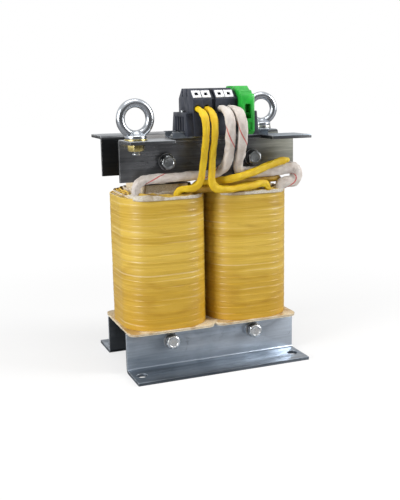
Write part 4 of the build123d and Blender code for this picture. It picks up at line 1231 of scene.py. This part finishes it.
    def collar(self, coil: Coil) -> None:
        """Build the crinkled papers that stand out of one coil's top round its former."""
        for k, paper in enumerate(PAPERS):
            bm = bmesh.new()
            share = bm.verts.layers.float.new("share")
            ring = new_ring(bm, self.paper_round)
            for i, v in enumerate(ring):
                v[share] = i / self.paper_round
            edges = edges_of(ring)
            for step in range(self.paper_steps + 1):
                if step:
                    ring, edges = grow(bm, edges)
                t = step / self.paper_steps
                for v in ring:
                    px, py = outline_point(v[share], *self.limb, paper.out)
                    uneven = 0.72 + 0.45 * wave(px * 0.11 + coil.seed, py * 0.11, k * 3.0)
                    height = 1.5 + paper.rise * uneven
                    height += sum(each.heights[k] * each.share(px, py) for each in STANDS[coil.side])
                    far = self.crinkle * wave(px * 0.22, py * 0.22, coil.seed + k * 5 + t) + self.lean
                    push = Vector((px, py, 0)).normalized() * t * far
                    v.co = (Vector((coil.x + px, py, self.top - self.paper_sunk + t * height)) + push) * MM
            obj = self.shop.piece(f"coil_{paper.name}_{coil.side}", bm, paper.look, "board", 50.0)
            solid = obj.modifiers.new("thickness", "SOLIDIFY")
            solid.thickness = self.paper_thick * MM
            solid.offset = 0.0

    def build(self) -> None:
        """Build both coils."""
        for coil in COILS:
            self.wrap(coil)
            self.board(coil)
            self.collar(coil)
            self.shop.refine([f"coil_former_{coil.side}"], Look.BOARD, self.edge)
            self.shop.dress(f"winding_{coil.side}", Look.COPPER)
        self.shop.refine(["coil_end_rings"], Look.TAPE_END, self.edge)


# ---------------- steelwork and fasteners
@dataclass
class Steelwork:
    """Bent angles and the laminated core."""

    shop: Shop
    foot_edge: float = 0.45
    top_edge: float = 0.6
    core_edge: float = 0.2

    def build(self) -> None:
        """Finish the angles and the core."""
        self.shop.refine(["foot_angle_front", "foot_angle_rear"], Look.FOOT_STEEL, self.foot_edge)
        self.shop.refine(["top_angle_front", "top_angle_rear"], Look.FRAME_STEEL, self.top_edge)
        self.shop.refine(["core_u_stack", "core_i_stack"], Look.CORE_STEEL, self.core_edge)


@dataclass
class Fasteners:
    """Clamp bolts, washers, nuts and the split spring washers."""

    shop: Shop
    flats: float = 16.0
    head_high: float = 6.4
    head_round: int = 72
    seat_wide: float = 7.9
    thread_long: float = 17.0
    spring_at: float = -44.0
    spring: tuple[tuple[float, float], ...] = (
        (5.1, 0.15), (8.1, 0.15), (8.1, 2.25), (5.1, 2.25), (5.1, 0.15))
    twists: tuple[float, ...] = (8.0, 21.0, 12.0, 33.0)

    def spring_washers(self) -> None:
        """Build the four split washers, each a nearly full turn of square wire."""
        bm = bmesh.new()
        for x, z in BOLT_PLACES:
            place = Matrix.Translation(Vector((x, self.spring_at, z)) * MM)
            before = set(bm.verts)
            lathe(bm, self.spring, place @ Matrix.Rotation(math.radians(90), 4, "X"), 46, 352.0)
            cuts = [e for e in bm.edges if e.is_boundary and e.verts[0] not in before]
            bmesh.ops.holes_fill(bm, edges=cuts, sides=8)
        break_edges(bm, 0.15, 50.0, 1)
        bmesh.ops.recalc_face_normals(bm, faces=bm.faces)
        self.shop.piece("spring_washers", bm, Look.SPRING, replaces=("clamp_lock_washers",))

    def head(self, bm: Mesh, place: Matrix, twist: float) -> None:
        """Add one hexagon head with a washer face, turned corners and a dished top.

        Args:
            bm: mesh to add to.
            place: the head's seat, with its axis along +Z.
            twist: how far the hexagon is turned, in degrees.
        """
        high = self.head_high
        rows = ((0.45, self.seat_wide, False), (0.45, 9.3, True), (high - 2.3, 9.3, True),
                (high - 1.7, 8.9, True), (high - 1.0, 8.2, True), (high - 0.4, 7.4, True),
                (high - 0.05, 6.7, True), (high, 6.2, False), (high, 5.5, False),
                (high - 0.45, 5.0, False), (high - 0.6, 4.2, False))
        ring = new_ring(bm, self.head_round, self.seat_wide * MM, filled=True)
        new, edges = list(ring), [e for e in edges_of(ring) if e.is_boundary]
        for z, widest, six in rows:
            ring, edges = grow(bm, edges)
            for v in ring:
                turn = math.atan2(v.co.y, v.co.x)
                flat = (turn - math.radians(twist)) % (math.pi / 3) - math.pi / 6
                wide = min(widest, self.flats / 2 / math.cos(flat)) if six else widest
                v.co = Vector((math.cos(turn) * wide, math.sin(turn) * wide, z)) * MM
            new += ring
        bmesh.ops.contextual_create(bm, geom=edges)
        faces = faces_of(new)
        bmesh.ops.recalc_face_normals(bm, faces=faces)
        for face in faces:
            face.material_index = 1 if face.normal.z < 0.55 else 0
        bmesh.ops.transform(bm, matrix=place, verts=new)

    def bolts(self) -> None:
        """Build the four clamp bolts: heads in front, threads behind."""
        low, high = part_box("clamp_bolts")
        seat = low.y / MM + self.head_high
        long = high.y / MM - seat
        start = long - self.thread_long
        shank = [(0, -0.2), (5.0, -0.2), (5.0, start),
                 *thread(start + 0.6, long - 1.9, 1.5, 0.75, 4.35), (4.9, long - 1.0), (4.1, long), (0, long)]
        bm = bmesh.new()
        for (x, z), twist in zip(BOLT_PLACES, self.twists):
            at = Matrix.Translation(Vector((x, seat, z)) * MM)
            self.head(bm, at @ Matrix.Rotation(math.radians(90), 4, "X"), twist)
            lathe(bm, shank, at @ Matrix.Rotation(math.radians(-90), 4, "X"), 40)
        self.shop.piece("clamp_bolts_turned", bm, Look.ZINC, sharp=28.0, replaces=("clamp_bolts",),
                        also=(Look.WASHER,))

    def build(self) -> None:
        """Finish every fastener."""
        self.spring_washers()
        self.bolts()
        self.shop.refine(["clamp_washers"], Look.WASHER, 0.35, slot="zinc_bolts")
        for node, bevel in (("clamp_nuts", 0.25), ("rail_screws", 0.2), ("bracket_screws", 0.15)):
            self.shop.refine([node], Look.ZINC, bevel)
        self.shop.refine(["eye_washers", "eye_nuts"], Look.PASSIVATED, 0.25)


@dataclass
class LiftingEye:
    """One forged lifting eye, its collar and its threaded shank."""

    shop: Shop
    name: str
    at: tuple[float, float, float]
    turn: float
    ring: float = 17.5
    rod: float = 5.0
    centre: float = 22.5
    tip: tuple[tuple[float, float], ...] = ((0, -18.0), (4.2, -18.0), (4.9, -17.2))
    collar: tuple[tuple[float, float], ...] = (
        (4.9, -0.6), (4.9, 0.0), (11.7, 0.0), (12.3, 0.35), (12.5, 0.9), (12.5, 3.3), (12.2, 3.9),
        (11.4, 4.5), (9.8, 5.6), (8.0, 7.2), (6.4, 8.8), (5.2, 9.6), (0, 9.6))

    def build(self) -> None:
        """Build the ring, the collar and the shank as one piece."""
        bm = bmesh.new()
        place = Matrix.Translation(Vector(self.at) * MM) @ Matrix.Rotation(math.radians(self.turn), 4, "Z")
        raised = place @ Matrix.Translation((0, 0, self.centre * MM))
        circle = [(self.ring + self.rod * math.cos(t), self.rod * math.sin(t))
                  for t in (TURN * k / 40 for k in range(41))]
        lathe(bm, circle, raised @ Matrix.Rotation(math.radians(90), 4, "X"), 112)
        lathe(bm, [*self.tip, *thread(-16.8, -1.6, 1.25, 0.6, 4.45), *self.collar], place, 72)
        self.shop.piece(self.name + "_forging", bm, Look.EYE, sharp=48.0, replaces=(self.name,))


@dataclass
class Terminals:
    """Rail, grey terminals, markers, green earth terminal and end brackets."""

    shop: Shop
    thin_edge: float = 0.15
    moulded_edge: float = 0.35

    def build(self) -> None:
        """Finish the rail and everything on it."""
        refine = self.shop.refine
        refine(["din_rail"], Look.RAIL, self.thin_edge)
        refine([f"terminal_{k}" for k in (1, 2, 3, 4)], Look.GREY, self.moulded_edge)
        refine(["terminal_spacer", "earth_spacer", "end_bracket_left", "end_bracket_right"], Look.GREY, 0.3)
        refine(["earth_terminal"], Look.GREEN, 0.4)
        refine(["terminal_markers"], Look.MARKER, self.thin_edge)
        refine(["lead_cores"], Look.INSULATION, 0.2)


# ---------------- studio
@dataclass(frozen=True)
class Lamp:
    """A soft box: its place, width and height in metres, its power, and the height it faces."""

    name: str
    at: tuple[float, float, float]
    size: tuple[float, float]
    watts: float
    aim: float


@dataclass
class Studio:
    """Camera, lamps, floor and background.

    eye is in millimetres, the three angles are in radians, and focal is in the unit that makes the
    frame of the view tall units high.
    """

    eye: tuple[float, float, float] = (-357.58, -919.44, 343.08)
    yaw: float = 0.372196559
    pitch: float = 0.207212649
    roll: float = -0.0178731269
    focal: float = 786.248677
    tall: float = 500.0
    film: float = 36.0
    lamps: tuple[Lamp, ...] = (
        Lamp("left", (-1.65, -0.62, 0.70), (0.7, 1.1), 29.0, 0.14),
        Lamp("right", (1.50, -0.85, 0.80), (0.6, 1.1), 27.0, 0.14),
        Lamp("top", (0.0, -0.3, 1.5), (1.0, 0.6), 9.0, 0.2))

    def camera(self) -> None:
        """Set the camera where the object is seen from."""
        cy, sy, cp, sp = (f(a) for a in (self.yaw, self.pitch) for f in (math.cos, math.sin))
        ahead = Vector((sy * cp, cy * cp, -sp))
        right = Vector((cy, -sy, 0.0))
        up = right.cross(ahead)
        cr, sr = math.cos(self.roll), math.sin(self.roll)
        right, up = cr * right + sr * up, -sr * right + cr * up
        data = bpy.data.cameras.new("camera")
        data.sensor_width = self.film
        data.lens = self.focal / self.tall * self.film
        data.clip_start = 0.01
        obj = placed("camera", data)
        turned = Matrix((right, up, -ahead)).transposed().to_4x4()
        obj.matrix_world = Matrix.Translation(Vector(self.eye) * MM) @ turned
        bpy.context.scene.camera = obj

    @staticmethod
    def light(lamp: Lamp) -> None:
        """Add one soft box."""
        data = bpy.data.lights.new(lamp.name, "AREA")
        data.shape = "RECTANGLE"
        data.size, data.size_y = lamp.size
        data.energy = lamp.watts
        way = (Vector((0, 0, lamp.aim)) - Vector(lamp.at)).to_track_quat("-Z", "Y")
        placed(lamp.name, data).matrix_world = Matrix.Translation(lamp.at) @ way.to_matrix().to_4x4()

    @staticmethod
    def seen(g: Graph, path: Outputs) -> Socket:
        """Return 1 where the camera looks straight at a surface, or through one."""
        return g.math("MAXIMUM", path["Is Camera Ray"], path["Is Transmission Ray"])

    def floor(self) -> None:
        """Lay a pale floor that keeps a soft shadow."""
        bm = bmesh.new()
        bmesh.ops.create_grid(bm, x_segments=1, y_segments=1, size=6.0)
        obj = meshed("floor", bm)
        material = bpy.data.materials.new("floor_paper")
        g = Graph.blank(material)
        away = g.add("VectorMath", {0: g.place()}, operation="LENGTH").outputs["Value"]
        seen = self.seen(g, g.add("LightPath").outputs)
        tone = g.mix(seen, (0.42, 0.42, 0.43), (0.92, 0.92, 0.92))
        lit = g.add("BsdfDiffuse", {"Color": tone})
        glow = g.add("Emission", {"Color": (1.0, 1.0, 1.0, 1.0), "Strength": 1.02})
        share = g.times(seen, g.ramp(away, 0.12, 0.75, 0.68, 1.0))
        both = g.add("MixShader", {0: share, 1: lit.outputs[0], 2: glow.outputs[0]})
        g.add("OutputMaterial", {"Surface": both.outputs[0]})
        obj.data.materials.append(material)

    def world(self) -> None:
        """Light the set evenly, with a darker side for metal to show."""
        world = bpy.context.scene.world = bpy.data.worlds.new("studio")
        g = Graph.blank(world)
        parts = g.split(g.add("TexCoord").outputs["Generated"])
        front = g.ramp(parts["Y"], -0.75, 0.05, 0.10, 1.0)
        above = g.ramp(parts["Z"], 0.15, 0.7, 0.0, 0.9)
        tone = g.math("MAXIMUM", front, above)
        path = g.add("LightPath").outputs
        strength = g.math("MAXIMUM", self.seen(g, path), g.times(tone, 0.15))
        strength = g.math("MAXIMUM", strength, g.times(path["Is Glossy Ray"], tone))
        back = g.add("Background", {"Color": (1.0, 1.0, 1.0, 1.0), "Strength": strength})
        g.add("OutputWorld", {"Surface": back.outputs[0]})

    def build(self) -> None:
        """Set up the camera, the floor and the light."""
        self.camera()
        self.floor()
        self.world()
        for lamp in self.lamps:
            self.light(lamp)
        bpy.context.scene.view_settings.view_transform = "Standard"


def clear_scene() -> None:
    """Remove what a new file starts with."""
    for obj in list(bpy.data.objects):
        bpy.data.objects.remove(obj)


def main() -> None:
    logging.basicConfig(level=logging.INFO, format="%(name)s: %(message)s")
    clear_scene()
    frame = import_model()
    shop = Shop(Palette(), frame["nodes"])
    for builder in (Studio(), Leads(shop), Coils(shop), Steelwork(shop), Fasteners(shop),
                    LiftingEye(shop, "eye_bolt_front", (-99.0, -65.0, 284.5), 3.0),
                    LiftingEye(shop, "eye_bolt_rear", (120.0, 65.0, 287.5), -7.0), Terminals(shop)):
        builder.build()


if __name__ == "__main__":
    main()
